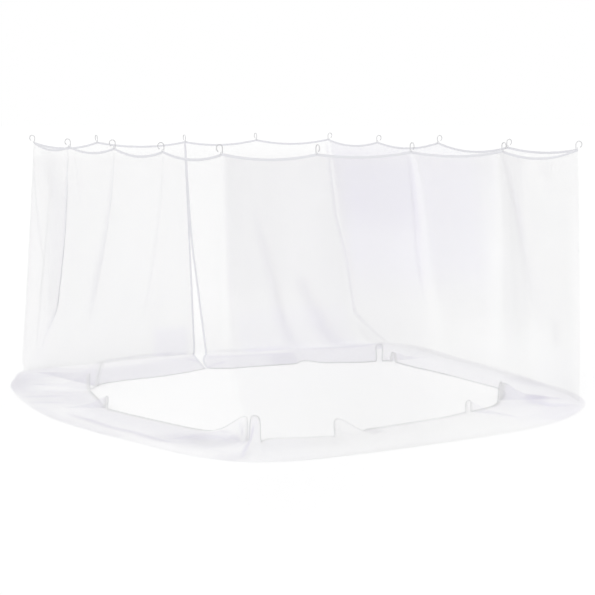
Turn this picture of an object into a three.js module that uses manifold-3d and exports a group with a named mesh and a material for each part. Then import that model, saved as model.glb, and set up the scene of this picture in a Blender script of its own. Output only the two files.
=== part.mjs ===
// Gazebo mosquito net: one length of white net that hangs from open hooks around a rectangle,
// falls to the floor, spreads a little, and turns back inwards as a floor flap.
// Millimetres, +Z up. The walls follow X and Y, and the door is in the wall at +Y.
import * as THREE from 'three';
import { mergeVertices } from 'three/addons/utils/BufferGeometryUtils.js';
import Module from 'manifold-3d';

// ---- Driving dimensions ----
const WIDTH = 3050; // between the hook lines of the two long walls, along X
const DEPTH = 3660; // between the hook lines of the two short walls, along Y
const HANG = 2066; // height of the tape's top edge at the highest hook
const NET_THICK = 2;
const TAPE_THICK = 2.6;
const TOP_TAPE_WIDTH = 18;
const DOOR_TAPE_WIDTH = 20;
const SEAM = 0.55; // gap between pieces that are sewn edge to edge
const COLUMNS_PER_SPAN = 7; // columns of the net's grid from one hook to the next
const DOOR_OVERLAP = 24; // of the two door edges at the top
const DOOR_LAYER = 4; // each door edge stands this far off the hook line, one out and one in
const DOOR_CLOSING = 86; // how much nearer the door's edges are at the hem than at the foot

// Hook: a wire with a small eye through the tape, a stem and a large open C over the rail.
const EYE_RADIUS = 8;
const EYE_WIRE = 2; // radius of the wire in the eye
const EYE_DROP = 8; // centre of the tape's hole below the tape's top edge
const EYE_LIFT = 0.5; // the wire hangs just under the upper rim of the hole
const HOLE_RADIUS = 3.7;
const STEM_TOP = 42; // where the stem runs into the C, above the hole
const C_RADIUS = 24;
const C_WIRE = 3.4; // radius of the wire in the C
const C_TIP = -48; // angle at which the C ends, in degrees
const HOOK_SIDES = 6;

// One row for each hook, anticlockwise from the door. x and y are shares of half the width and
// depth, drop is how far its tape peak lies under HANG, sag is the swag to the next hook, and
// turn is the direction that the hook reaches towards, in degrees from +X. slip is how far the
// hook's hole is along the tape from the peak, in millimetres, where a corner is in its way.
const HOOKS = [
  { x: -0.032, y: 1, drop: 10, sag: 41, turn: 90 },
  { x: -0.61, y: 1, drop: 4, sag: 51, turn: 90 },
  { x: -1, y: 1, drop: 0, sag: 43, turn: 135 },
  { x: -1, y: 0.52, drop: 16, sag: 42, turn: 180 },
  { x: -1, y: -0.005, drop: 6, sag: 46, turn: 180 },
  { x: -1, y: -0.493, drop: 8, sag: 45, turn: 180 },
  { x: -1, y: -1, drop: 0, sag: 35, turn: 188, slip: -12 },
  { x: -0.53, y: -1, drop: 12, sag: 27, turn: 270 },
  { x: -0.02, y: -1, drop: 8, sag: 32, turn: 270 },
  { x: 0.52, y: -1, drop: 16, sag: 60, turn: 270 },
  { x: 1, y: -1, drop: 14, sag: 32, turn: 340, slip: 12 },
  { x: 1, y: -0.538, drop: 16, sag: 55, turn: 0 },
  { x: 1, y: -0.013, drop: 0, sag: 51, turn: 0 },
  { x: 1, y: 0.513, drop: 14, sag: 47, turn: 0 },
  { x: 1, y: 1, drop: 2, sag: 40, turn: 5, slip: -12 },
  { x: 0.467, y: 1, drop: 0, sag: 36, turn: 90 },
];
const SPANS = HOOKS.length;

// Outer edge of the net on the floor. A station counts hooks from the door: 2.5 is halfway
// between hooks 2 and 3.
const FOOT = [
  { station: 0, x: 30, y: 1880 },
  { station: 0.5, x: -420, y: 1905 },
  { station: 1, x: -930, y: 1890 },
  { station: 1.6, x: -1370, y: 1930 },
  { station: 2, x: -1680, y: 1880 },
  { station: 2.35, x: -1820, y: 1640 },
  { station: 2.75, x: -1970, y: 1310 },
  { station: 3.3, x: -2078, y: 670 },
  { station: 4, x: -2092, y: 20 },
  { station: 4.6, x: -1984, y: -550 },
  { station: 5.1, x: -1850, y: -1018 },
  { station: 5.7, x: -1645, y: -1615 },
  { station: 6.1, x: -1412, y: -1930 },
  { station: 6.5, x: -1100, y: -2070 },
  { station: 7, x: -720, y: -2125 },
  { station: 8, x: 60, y: -2164 },
  { station: 8.6, x: 520, y: -2164 },
  { station: 9, x: 950, y: -2126 },
  { station: 9.6, x: 1420, y: -1970 },
  { station: 10.1, x: 1830, y: -1660 },
  { station: 10.5, x: 1990, y: -1350 },
  { station: 11.1, x: 2050, y: -900 },
  { station: 11.55, x: 2115, y: -470 },
  { station: 12, x: 2130, y: -50 },
  { station: 12.6, x: 2150, y: 500 },
  { station: 13.1, x: 2185, y: 930 },
  { station: 13.6, x: 2140, y: 1260 },
  { station: 14, x: 1980, y: 1480 },
  { station: 14.5, x: 1540, y: 1530 },
  { station: 15, x: 1080, y: 1640 },
  { station: 15.5, x: 580, y: 1710 },
  { station: 16, x: 166, y: 1840 },
];

// Inner hem of the floor flap.
const HEM = [
  { station: 0, x: -190, y: 1180 },
  { station: 0.35, x: -368, y: 1113 },
  { station: 0.7, x: -694, y: 1047 },
  { station: 1.2, x: -1078, y: 1039 },
  { station: 1.7, x: -1286, y: 985 },
  { station: 2.1, x: -1352, y: 906 },
  { station: 2.45, x: -1400, y: 857 },
  { station: 2.8, x: -1448, y: 809 },
  { station: 3.2, x: -1500, y: 542 },
  { station: 3.5, x: -1560, y: 270 },
  { station: 3.85, x: -1593, y: 92 },
  { station: 4.15, x: -1575, y: -30 },
  { station: 4.4, x: -1500, y: -290 },
  { station: 4.75, x: -1385, y: -650 },
  { station: 5, x: -1300, y: -890 },
  { station: 5.15, x: -1225, y: -1008 },
  { station: 5.3, x: -1128, y: -1060 },
  { station: 5.5, x: -1113, y: -1350 },
  { station: 5.7, x: -1109, y: -1385 },
  { station: 6.1, x: -1079, y: -1438 },
  { station: 6.3, x: -1050, y: -1480 },
  { station: 6.45, x: -963, y: -1446 },
  { station: 6.75, x: -762, y: -1529 },
  { station: 7.1, x: -535, y: -1598 },
  { station: 7.35, x: -497, y: -1612 },
  { station: 7.6, x: -260, y: -1556 },
  { station: 8.2, x: 100, y: -1544 },
  { station: 8.65, x: 488, y: -1521 },
  { station: 9, x: 801, y: -1463 },
  { station: 9.3, x: 936, y: -1439 },
  { station: 9.6, x: 1061, y: -1407 },
  { station: 9.85, x: 1150, y: -1372 },
  { station: 10.1, x: 1257, y: -1273 },
  { station: 10.35, x: 1360, y: -1190 },
  { station: 10.6, x: 1525, y: -990 },
  { station: 10.85, x: 1569, y: -872 },
  { station: 11.2, x: 1568, y: -610 },
  { station: 12, x: 1538, y: 68 },
  { station: 12.3, x: 1493, y: 330 },
  { station: 12.55, x: 1500, y: 600 },
  { station: 13.2, x: 1478, y: 664 },
  { station: 13.8, x: 1430, y: 672 },
  { station: 14, x: 1402, y: 695 },
  { station: 14.3, x: 1340, y: 674 },
  { station: 14.5, x: 1126, y: 772 },
  { station: 14.75, x: 878, y: 905 },
  { station: 14.95, x: 808, y: 1081 },
  { station: 15.1, x: 701, y: 985 },
  { station: 15.4, x: 310, y: 1034 },
  { station: 15.75, x: -25, y: 1092 },
  { station: 16, x: -140, y: 1180 },
];

// Puckers that stand up at the hem, where the flap has more cloth than floor. before and after
// are the distances on the floor from the crest's middle to the foot on each side, inward is how
// far the crest leans over the open floor, and crest is half its width.
const PUCKERS = [
  { station: 2.1, height: 212, before: 30, after: 34, inward: 64, crest: 22 },
  { station: 2.8, height: 132, before: 26, after: 28, inward: 0, crest: 14 },
  { station: 3.85, height: 87, before: 28, after: 28, inward: 8, crest: 20 },
  { station: 5.5, height: 156, before: 350, after: 26, inward: 0, crest: 22 },
  { station: 6.1, height: 173, before: 47, after: 47, inward: 0, crest: 24 },
  { station: 7.35, height: 120, before: 30, after: 250, inward: 0, crest: 20 },
  { station: 9, height: 83, before: 32, after: 32, inward: 0, crest: 22 },
  { station: 10.1, height: 143, before: 62, after: 66, inward: -10, crest: 50 },
  { station: 12.55, height: 86, before: 46, after: 52, inward: 5, crest: 14 },
  { station: 14, height: 153, before: 30, after: 32, inward: 0, crest: 24 },
];
const PUCKER_DROP = 0.38; // share of a pucker's height that it loses on a short slope behind it
const PUCKER_SLOPE = [0.78, 0.92]; // where on the flap that slope starts and ends

// Rows of the wall under the tape: height over the floor, and share of the way from under the
// hook line out to the foot.
const WALL_ROWS = [
  { height: 1740, lean: 0.085 },
  { height: 1400, lean: 0.175 },
  { height: 1060, lean: 0.27 },
  { height: 720, lean: 0.36 },
  { height: 420, lean: 0.44 },
  { height: 210, lean: 0.5 },
  { height: 100, lean: 0.56 },
  { height: 42, lean: 0.65 },
  { height: 17, lean: 0.76 },
  { height: 13, lean: 0.95 },
  { height: 8.5, lean: 1 },
];
// Rows of the flap: share of the way from the foot to the hem, after a small turn at the foot.
const FLAP_TURN = 8;
const FLAP_ROWS = [
  { share: 0, height: 2 },
  { share: 0.12, height: 1 },
  { share: 0.4, height: 1 },
  { share: 0.75, height: 1 },
  { share: 0.94, height: 1 },
  { share: 1, height: 1 },
];

// Main folds of the walls. station is where the fold starts under the tape, drift is how far it
// has moved along the wall at the floor, reach is its half width, both in hook spans, and depth
// is outwards. full is the height at which it is deepest.
const FOLDS = [
  { station: 0.75, drift: 0.15, reach: 0.35, depth: 26, full: 1300 },
  { station: 1.45, drift: 0.1, reach: 0.3, depth: -28, full: 1100 },
  { station: 2.05, drift: 0.05, reach: 0.25, depth: 90, full: 150 },
  { station: 2.05, drift: 0.05, reach: 0.25, depth: -30, full: 900 },
  { station: 2.35, drift: 0.1, reach: 0.32, depth: -46, full: 1150 },
  { station: 2.68, drift: 0, reach: 0.3, depth: 34, full: 900 },
  { station: 3.0, drift: -0.05, reach: 0.26, depth: -42, full: 1200 },
  { station: 3.5, drift: -0.05, reach: 0.34, depth: 24, full: 1000 },
  { station: 4.0, drift: -0.05, reach: 0.26, depth: -36, full: 1350 },
  { station: 4.5, drift: 0, reach: 0.36, depth: 22, full: 900 },
  { station: 5.0, drift: -0.05, reach: 0.26, depth: -26, full: 1500 },
  { station: 5.65, drift: 0.05, reach: 0.32, depth: 24, full: 1000 },
  { station: 6.35, drift: 0.1, reach: 0.34, depth: -18, full: 1300 },
  { station: 7.0, drift: 0.1, reach: 0.3, depth: 22, full: 1400 },
  { station: 7.55, drift: 0.1, reach: 0.36, depth: -20, full: 900 },
  { station: 8.03, drift: 0.2, reach: 0.28, depth: 32, full: 1300 },
  { station: 8.5, drift: 0.15, reach: 0.34, depth: -20, full: 1000 },
  { station: 8.93, drift: -0.05, reach: 0.22, depth: 30, full: 1200 },
  { station: 9.15, drift: 0.12, reach: 0.26, depth: -36, full: 1300 },
  { station: 9.75, drift: -0.05, reach: 0.3, depth: 24, full: 1500 },
  { station: 9.98, drift: 0, reach: 0.2, depth: 14, full: 500 },
  { station: 10.5, drift: 0.1, reach: 0.34, depth: -26, full: 1100 },
  { station: 11.0, drift: 0.1, reach: 0.32, depth: 30, full: 1300 },
  { station: 11.6, drift: 0.1, reach: 0.36, depth: -24, full: 900 },
  { station: 12.1, drift: 0.1, reach: 0.3, depth: 28, full: 1400 },
  { station: 12.8, drift: 0.2, reach: 0.36, depth: -26, full: 1000 },
  { station: 13.5, drift: 0.1, reach: 0.34, depth: 26, full: 1200 },
  { station: 14.25, drift: 0.15, reach: 0.32, depth: -34, full: 1100 },
  { station: 14.55, drift: -0.05, reach: 0.26, depth: -36, full: 700 },
  { station: 14.8, drift: 0, reach: 0.24, depth: 26, full: 900 },
  { station: 15.02, drift: -0.02, reach: 0.26, depth: -36, full: 800 },
  { station: 15.45, drift: 0.1, reach: 0.32, depth: 22, full: 1100 },
];

const COLUMNS = SPANS * COLUMNS_PER_SPAN;

// ---- Lines that the net follows ----

// Where hook i holds the tape's top edge. Counting goes round past the last hook.
function hookPeak(i) {
  const hook = HOOKS[i % SPANS];
  return new THREE.Vector3((hook.x * WIDTH) / 2, (hook.y * DEPTH) / 2, HANG - hook.drop);
}

// The tape's top edge: straight from hook to hook in plan, and a shallow swag in height.
function tapeTop(station) {
  const i = Math.min(Math.floor(station), SPANS - 1);
  const t = station - i;
  const point = hookPeak(i).lerp(hookPeak(i + 1), t);
  point.z -= HOOKS[i].sag * 4 * t * (1 - t);
  return point;
}

// A floor line through the rows of a table, as a function of the station.
function floorLine(table) {
  const points = table.map((row) => new THREE.Vector3(row.x, row.y, 0));
  const curve = new THREE.CatmullRomCurve3(points, false, 'centripetal');
  return (station) => {
    let k = 0;
    while (k < table.length - 2 && station > table[k + 1].station) k += 1;
    const t = (station - table[k].station) / (table[k + 1].station - table[k].station);
    return curve.getPoint((k + THREE.MathUtils.clamp(t, 0, 1)) / (table.length - 1));
  };
}
const footAt = floorLine(FOOT);
const hemAt = floorLine(HEM);

// Outward direction of the walls in plan, turned halfway at a corner.
function outwardAt(station) {
  const step = 0.04;
  const before = tapeTop((station - step + SPANS) % SPANS);
  const after = tapeTop((station + step) % SPANS);
  const along = after.sub(before).setZ(0).normalize();
  return new THREE.Vector3(along.y, -along.x, 0);
}

// Height just under the top tape at a place x beside the door's hook.
function underTape(x) {
  const hook = hookPeak(0);
  const next = tapeTop(x < hook.x ? 1 / COLUMNS_PER_SPAN : SPANS - 1 / COLUMNS_PER_SPAN);
  const t = (x - hook.x) / (next.x - hook.x);
  return THREE.MathUtils.lerp(hook.z, next.z, t) - TOP_TAPE_WIDTH - SEAM;
}

// How far the wall's folds carry the net outwards at a station and height.
function foldDepth(station, height) {
  const fall = 1 - height / HANG;
  let depth = 0;
  for (const fold of FOLDS) {
    const away = Math.abs(station - fold.station - fold.drift * fall) / fold.reach;
    if (away >= 1) continue;
    const across = 0.5 + 0.5 * Math.cos(Math.PI * away);
    const span = height > fold.full ? HANG - fold.full : fold.full;
    const along = Math.cos((Math.PI / 2) * Math.min(Math.abs(height - fold.full) / span, 1));
    depth += fold.depth * across * along;
  }
  return depth;
}

// ---- The net's middle surface: one column of points from the tape down to the hem ----

// The hem's end of a column: on the floor, or up on a pucker.
function hemEnd(column) {
  const station = column / COLUMNS_PER_SPAN;
  for (const pucker of PUCKERS) {
    const place = column - Math.floor(pucker.station * COLUMNS_PER_SPAN - 1);
    if (place < 0 || place > 3) continue;
    const along = hemAt(pucker.station + 0.2).sub(hemAt(pucker.station - 0.2)).normalize();
    const across = [-pucker.before, -pucker.crest, pucker.crest, pucker.after][place];
    const base = hemAt(pucker.station).addScaledVector(along, across);
    if (place === 0 || place === 3) return { base, rise: 0 };
    base.addScaledVector(new THREE.Vector3(-along.y, along.x, 0), pucker.inward);
    return { base, rise: pucker.height };
  }
  return { base: hemAt(station), rise: 0 };
}

function netColumn(column) {
  const station = column / COLUMNS_PER_SPAN;
  const top = tapeTop(station);
  const out = outwardAt(station);
  const door = column === 0 ? 1 : column === COLUMNS ? -1 : 0;
  top.x -= door * (DOOR_TAPE_WIDTH + SEAM - DOOR_OVERLAP / 2);
  const layer = door * DOOR_LAYER;
  const edge = door ? underTape(top.x) : top.z - TOP_TAPE_WIDTH - SEAM;
  const foot = footAt(station);
  const points = [top.clone().addScaledVector(out, layer).setZ(edge)];
  // The door's edges run straight down, so near the door the net slides along the wall evenly.
  const nearDoor = Math.max(1 - 2 * Math.min(station, SPANS - station), 0);
  for (const row of WALL_ROWS) {
    const depth = layer + foldDepth(station, row.height) * (1 - row.lean ** 4);
    const slide = THREE.MathUtils.lerp(row.lean, 1 - row.height / edge, nearDoor);
    const point = top.clone().lerp(foot, row.lean);
    point.x = THREE.MathUtils.lerp(top.x, foot.x, slide);
    points.push(point.addScaledVector(out, depth).setZ(row.height));
  }
  const { base, rise } = hemEnd(column);
  const start = foot.clone().addScaledVector(base.clone().sub(foot).normalize(), FLAP_TURN);
  for (const row of FLAP_ROWS) {
    const slope = THREE.MathUtils.smoothstep(row.share, ...PUCKER_SLOPE);
    const lift = rise * ((1 - PUCKER_DROP) * row.share + PUCKER_DROP * slope);
    const point = start.clone().lerp(base, row.share).setZ(row.height + lift);
    if (column === COLUMNS) point.x -= DOOR_CLOSING * (1 - row.share - (1 - row.share) ** 3);
    points.push(point);
  }
  return points;
}

// ---- Closed sheets from grids of points ----

// Unit normals of a grid, from the neighbours in both directions.
function gridNormals(grid, wraps = false) {
  const n = grid.length;
  return grid.map((line, c) =>
    line.map((_, r) => {
      const next = wraps ? (c + 1) % n : Math.min(c + 1, n - 1);
      const last = wraps ? (c + n - 1) % n : Math.max(c - 1, 0);
      const across = grid[next][r].clone().sub(grid[last][r]);
      const down = line[Math.min(r + 1, line.length - 1)].clone().sub(line[Math.max(r - 1, 0)]);
      return down.cross(across).normalize();
    })
  );
}

// A sheet of the given thickness on both sides of a grid, closed along its free edges. A grid
// that wraps joins its last column to its first.
function sheet(grid, normals, thickness, wraps = false) {
  const columns = grid.length;
  const rows = grid[0].length;
  const positions = [];
  for (const side of [0.5, -0.5]) {
    grid.forEach((line, c) =>
      line.forEach((point, r) => {
        positions.push(...point.clone().addScaledVector(normals[c][r], side * thickness).toArray());
      })
    );
  }
  const id = (c, r, inner) => (inner ? columns * rows : 0) + (c % columns) * rows + r;
  const index = [];
  const quad = (a, b, c, d) => index.push(a, b, c, a, c, d);
  const bands = wraps ? columns : columns - 1;
  for (let c = 0; c < bands; c += 1) {
    for (let r = 0; r < rows - 1; r += 1) {
      quad(id(c, r), id(c, r + 1), id(c + 1, r + 1), id(c + 1, r));
      quad(id(c, r, true), id(c + 1, r, true), id(c + 1, r + 1, true), id(c, r + 1, true));
    }
    quad(id(c, 0, true), id(c, 0), id(c + 1, 0), id(c + 1, 0, true));
    const end = rows - 1;
    quad(id(c, end), id(c, end, true), id(c + 1, end, true), id(c + 1, end));
  }
  for (let r = 0; r < rows - 1 && !wraps; r += 1) {
    const end = columns - 1;
    quad(id(0, r), id(0, r, true), id(0, r + 1, true), id(0, r + 1));
    quad(id(end, r, true), id(end, r), id(end, r + 1), id(end, r + 1, true));
  }
  const geometry = new THREE.BufferGeometry();
  geometry.setAttribute('position', new THREE.Float32BufferAttribute(positions, 3));
  geometry.setIndex(index);
  geometry.computeVertexNormals();
  return geometry;
}

// A round wire along points in the XZ plane, with a radius at each point and closed ends.
function wire(points, sides) {
  const positions = [];
  points.forEach(({ x, z, radius }, i) => {
    const a = points[Math.max(i - 1, 0)];
    const b = points[Math.min(i + 1, points.length - 1)];
    const along = new THREE.Vector3(b.x - a.x, 0, b.z - a.z).normalize();
    const side = new THREE.Vector3(along.z, 0, -along.x);
    for (let k = 0; k < sides; k += 1) {
      const turn = (2 * Math.PI * k) / sides;
      const reach = Math.cos(turn) * radius;
      positions.push(x + side.x * reach, Math.sin(turn) * radius, z + side.z * reach);
    }
  });
  const index = [];
  for (let i = 0; i < points.length - 1; i += 1) {
    for (let k = 0; k < sides; k += 1) {
      const [a, b] = [i * sides + k, i * sides + ((k + 1) % sides)];
      index.push(a, b, a + sides, b, b + sides, a + sides);
    }
  }
  const last = (points.length - 1) * sides;
  for (let k = 1; k < sides - 1; k += 1) {
    index.push(0, k + 1, k, last, last + k, last + k + 1);
  }
  const geometry = new THREE.BufferGeometry();
  geometry.setAttribute('position', new THREE.Float32BufferAttribute(positions, 3));
  geometry.setIndex(index);
  geometry.computeVertexNormals();
  return geometry;
}

// ---- Joining and cutting ----

const wasm = await Module();
wasm.setup();

function toSolid(geometry) {
  const bare = geometry.clone();
  bare.deleteAttribute('normal');
  if (bare.getAttribute('uv')) bare.deleteAttribute('uv');
  const merged = mergeVertices(bare, 1e-4);
  return new wasm.Manifold(
    new wasm.Mesh({
      numProp: 3,
      vertProperties: new Float32Array(merged.getAttribute('position').array),
      triVerts: new Uint32Array(merged.getIndex().array),
    })
  );
}

function toGeometry(solid) {
  const mesh = solid.getMesh();
  const geometry = new THREE.BufferGeometry();
  geometry.setAttribute('position', new THREE.BufferAttribute(mesh.vertProperties, mesh.numProp));
  geometry.setIndex(new THREE.BufferAttribute(mesh.triVerts, 1));
  geometry.computeVertexNormals();
  return geometry;
}

// ---- Pieces ----

// Place of hook i's hole through the tape.
function holeAt(i) {
  const slip = HOOKS[i].slip ?? 0;
  const span = hookPeak(i).distanceTo(hookPeak(slip < 0 ? i - 1 : i + 1));
  const point = tapeTop(i + slip / span);
  return point.setZ(point.z - EYE_DROP);
}

function topTapeGeometry() {
  const grid = [];
  const normals = [];
  for (let column = 0; column < COLUMNS; column += 1) {
    const station = column / COLUMNS_PER_SPAN;
    const top = tapeTop(station);
    grid.push([top, top.clone().setZ(top.z - TOP_TAPE_WIDTH)]);
    const out = outwardAt(station);
    normals.push([out, out]);
  }
  let solid = toSolid(sheet(grid, normals, TAPE_THICK, true));
  HOOKS.forEach((hook, i) => {
    const drill = new THREE.CylinderGeometry(HOLE_RADIUS, HOLE_RADIUS, 6 * TAPE_THICK, 8);
    drill.rotateZ(Math.PI / 2).rotateZ(THREE.MathUtils.degToRad(hook.turn));
    const hole = holeAt(i);
    drill.translate(hole.x, hole.y, hole.z);
    solid = solid.subtract(toSolid(drill));
  });
  return toGeometry(solid);
}

// A door tape along the net's first or last column, beside its edge.
function doorTapeGeometry(grid, normals, edge, neighbour) {
  const lines = [SEAM, SEAM + DOOR_TAPE_WIDTH].map((away) =>
    grid[edge].map((point, r) => {
      const beside = point.clone().sub(grid[neighbour][r]);
      beside.addScaledVector(normals[edge][r], -beside.dot(normals[edge][r])).normalize();
      return point.clone().addScaledVector(beside, away);
    })
  );
  for (const line of lines) line[0].setZ(underTape(line[0].x));
  const pair = edge === 0 ? lines.reverse() : lines;
  return sheet(pair, [normals[edge], normals[edge]], TAPE_THICK);
}

function hookGeometry() {
  const points = [];
  const arc = (cx, cz, r, from, to, steps, radius) => {
    for (let k = 0; k <= steps; k += 1) {
      const angle = THREE.MathUtils.degToRad(from + ((to - from) * k) / steps);
      const x = cx + r * Math.cos(angle);
      points.push({ x, z: cz + r * Math.sin(angle), radius });
    }
  };
  arc(0, EYE_RADIUS + EYE_LIFT, EYE_RADIUS, 112, -180, 9, EYE_WIRE);
  points.push({ x: -EYE_RADIUS, z: EYE_RADIUS + 10, radius: C_WIRE * 0.9 });
  arc(C_RADIUS - EYE_RADIUS, STEM_TOP, C_RADIUS, 180, C_TIP, 9, C_WIRE);
  return wire(points, HOOK_SIDES);
}

// ---- Scene graph ----

const cloth = (color) => new THREE.MeshStandardMaterial({ color, roughness: 0.9, side: THREE.DoubleSide });
const plastic = () => new THREE.MeshStandardMaterial({ color: 0xe9e9ea, roughness: 0.4 });

const part = new THREE.Group();

function add(name, geometry, material) {
  const mesh = new THREE.Mesh(geometry, material);
  mesh.name = name;
  part.add(mesh);
  return mesh;
}

const netGrid = Array.from({ length: COLUMNS + 1 }, (_, column) => netColumn(column));
const netNormals = gridNormals(netGrid);
netNormals.forEach((line, column) => line.splice(0, 1, outwardAt(column / COLUMNS_PER_SPAN)));

add('net', sheet(netGrid, netNormals, NET_THICK), cloth(0xf3f3f6));
add('top_tape', topTapeGeometry(), cloth(0xe6e6ea));
add('door_tape_left', doorTapeGeometry(netGrid, netNormals, 0, 1), cloth(0xe6e6ea));
add(
  'door_tape_right',
  doorTapeGeometry(netGrid, netNormals, COLUMNS, COLUMNS - 1),
  cloth(0xe6e6ea)
);
const hookShape = hookGeometry();
HOOKS.forEach((hook, i) => {
  const mesh = add(`hook_${String(i).padStart(2, '0')}`, hookShape, plastic());
  mesh.position.copy(holeAt(i));
  mesh.rotation.z = THREE.MathUtils.degToRad(hook.turn);
});

// The part stands on its origin: the middle of its footprint, on the floor.
const box = new THREE.Box3().setFromObject(part);
const middle = box.getCenter(new THREE.Vector3());
part.position.set(-middle.x, -middle.y, -box.min.z);

export default part;
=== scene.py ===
"""Dresses the gazebo mosquito net: sheer mesh walls and floor flap, tapes, rail hooks, studio."""

from __future__ import annotations

import logging
import math
from dataclasses import dataclass, field
from enum import Enum

import bpy
import numpy as np
from mathutils import Matrix, Vector


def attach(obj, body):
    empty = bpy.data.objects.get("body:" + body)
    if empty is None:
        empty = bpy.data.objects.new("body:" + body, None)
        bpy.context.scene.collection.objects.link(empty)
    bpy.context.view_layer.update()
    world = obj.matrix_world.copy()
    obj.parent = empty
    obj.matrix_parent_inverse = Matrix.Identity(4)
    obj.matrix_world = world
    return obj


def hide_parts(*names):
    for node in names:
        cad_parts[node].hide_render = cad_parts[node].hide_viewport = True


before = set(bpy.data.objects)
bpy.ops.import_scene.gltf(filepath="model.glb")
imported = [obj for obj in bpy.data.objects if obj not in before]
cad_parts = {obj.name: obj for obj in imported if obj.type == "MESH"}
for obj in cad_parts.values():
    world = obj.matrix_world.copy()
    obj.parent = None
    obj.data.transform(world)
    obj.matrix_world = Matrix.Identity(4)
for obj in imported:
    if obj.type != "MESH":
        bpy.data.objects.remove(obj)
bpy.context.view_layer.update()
log = logging.getLogger("gazebo_net")

# ---- Driving sizes, in metres ----
WIDTH = 3.05  # between the hook lines of the two long walls, along X
DEPTH = 3.66  # between the hook lines of the two short walls, along Y
HANG = 2.066  # height of the tape's top edge at the highest hook
ORIGIN = np.array((-0.04186, 0.11875, 0.0003))  # from the hook line's centre to the part's
TOP_TAPE_WIDTH = 0.018
DOOR_TAPE_WIDTH = 0.020
SEAM = 0.00055  # gap between pieces that are sewn edge to edge
DOOR_OVERLAP = 0.024  # of the two door tapes at the top
DOOR_LAYER = 0.004  # each door edge stands this far off the hook line, one out and one in
DOOR_CLOSING = 0.086  # how much nearer the door's edges are at the hem than at the foot
DOOR_PARTING = 0.42  # share of the drop over which the door's tapes lie on each other
DOOR_HELD = 0.42  # how closely the right edge keeps to the left one over that share
COLUMNS_PER_SPAN = 7  # of the coarse grid, between two hooks
FLAP_TURN = 0.008  # from the foot to the start of the flap
PUCKER_DROP = 0.38  # share of a pucker's height that it loses on a short slope behind it
PUCKER_SLOPE = (0.78, 0.92)  # where on the flap that slope starts and ends
PUCKER_MIDDLE = 1.5  # columns from a pucker's first one to its middle
PUCKER_LOOK = 0.2  # how many stations to each side give the hem's direction at a pucker
EYE_DROP = 0.008  # from the top tape's upper edge to a hook's hole
FLOOR_CLEARANCE = 0.0006  # least height of the net's cloth over the floor

# ---- How creases and tones run out ----
CREASE_RAMP = (0, 0.2, 0.75, 1)  # a crease has its full strength between the middle two shares
FOOT_FADE = 0.12  # creases of the wall flatten under this height
TOP_FADE = 0.1  # and this far under the tape's upper edge
FLAP_FADE = 0.06  # creases of the flap rise over this share of it
FLAP_MIDDLE = 0.3  # share of the flap where its outer tone starts to turn into the inner one
FLAP_BLEND = 0.35  # share of the flap over which it does
MOST_BUNCHED = 0.95
SMOOTH_ALL = 180  # degrees, for a piece with no sharp edge

# ---- Shader measures ----
ROW_HEIGHT = 0.62  # of a row of the net's holes, in widths of a hole
STITCH_HALF = 0.0004  # half the width of a line of stitches
STITCH_SHARE = 0.7  # share of the length that a stitch fills
WEAVE_RELIEF = 0.35  # height of the weave, in heights of a stitch


class Hold(Enum):
    HUNG = "hung"


class Side(Enum):
    """The two edges of the door slit."""

    LEFT = "left"
    RIGHT = "right"


# ---- What the net follows: hooks, floor lines, folds ----


@dataclass(frozen=True)
class HookPlace:
    """Where one hook holds the top tape.

    x and y are shares of half the width and depth, drop is its distance under HANG, sag that of
    the tape's swag up to the next hook, turn the heading of its open C in degrees, and slip how
    far its hole lies past the tape's peak.
    """

    x: float
    y: float
    drop: float
    sag: float
    turn: float
    slip: float = 0.0


@dataclass(frozen=True)
class FloorPoint:
    """A point of a floor line, at a station counted in hooks from the door."""

    station: float
    x: float
    y: float


@dataclass(frozen=True)
class Pucker:
    """A stand-up pucker of the hem.

    before and after are the distances along the hem from its middle to its two feet, crest half
    the width of its top, inward how far the top leans in, and band the width of the crowded
    band along its edge.
    """

    station: float
    height: float
    before: float
    after: float
    inward: float
    crest: float
    band: float

    @property
    def first_column(self) -> int:
        """The first of the four columns of the coarse grid that make the pucker."""
        return math.floor(self.station * COLUMNS_PER_SPAN - 1)


@dataclass(frozen=True)
class WallRow:
    """A row of the wall: its height, and its share of the way out to the foot."""

    height: float
    lean: float


@dataclass(frozen=True)
class FlapRow:
    """A row of the flap: its share of the way to the hem, and its height."""

    share: float
    height: float


@dataclass(frozen=True)
class Fold:
    """A main fold of a wall.

    station is its place at the tape, drift how many stations it moves on down to the floor,
    reach its half width in stations, depth how far it stands out at its deepest, and full the
    height where that is.
    """

    station: float
    drift: float
    reach: float
    depth: float
    full: float


@dataclass(frozen=True)
class Crease:
    """A crease along a path of places, each a station with a height, or with a flap share.

    width is its half width at the path's start and end, depth how far it stands out of the
    cloth, bunching how far the mesh crowds together in it, and ends how strong it still is at
    the path's start and end.
    """

    path: tuple
    width: tuple
    depth: float
    bunching: float
    ends: tuple = (0.6, 0.0)


@dataclass(frozen=True)
class Patch:
    """An area where the mesh is more or less crowded, with soft edges.

    stations and rows are its ends, the rows being heights or flap shares, soft is the width of
    its edge in each of the two, and amount how much more crowded the mesh is, or how much less.
    """

    stations: tuple
    rows: tuple
    soft: tuple
    amount: float


@dataclass(frozen=True)
class Tone:
    """How crowded the mesh is in general at a station: on the wall, and across the flap."""

    station: float
    wall: float
    outer: float
    inner: float


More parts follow.
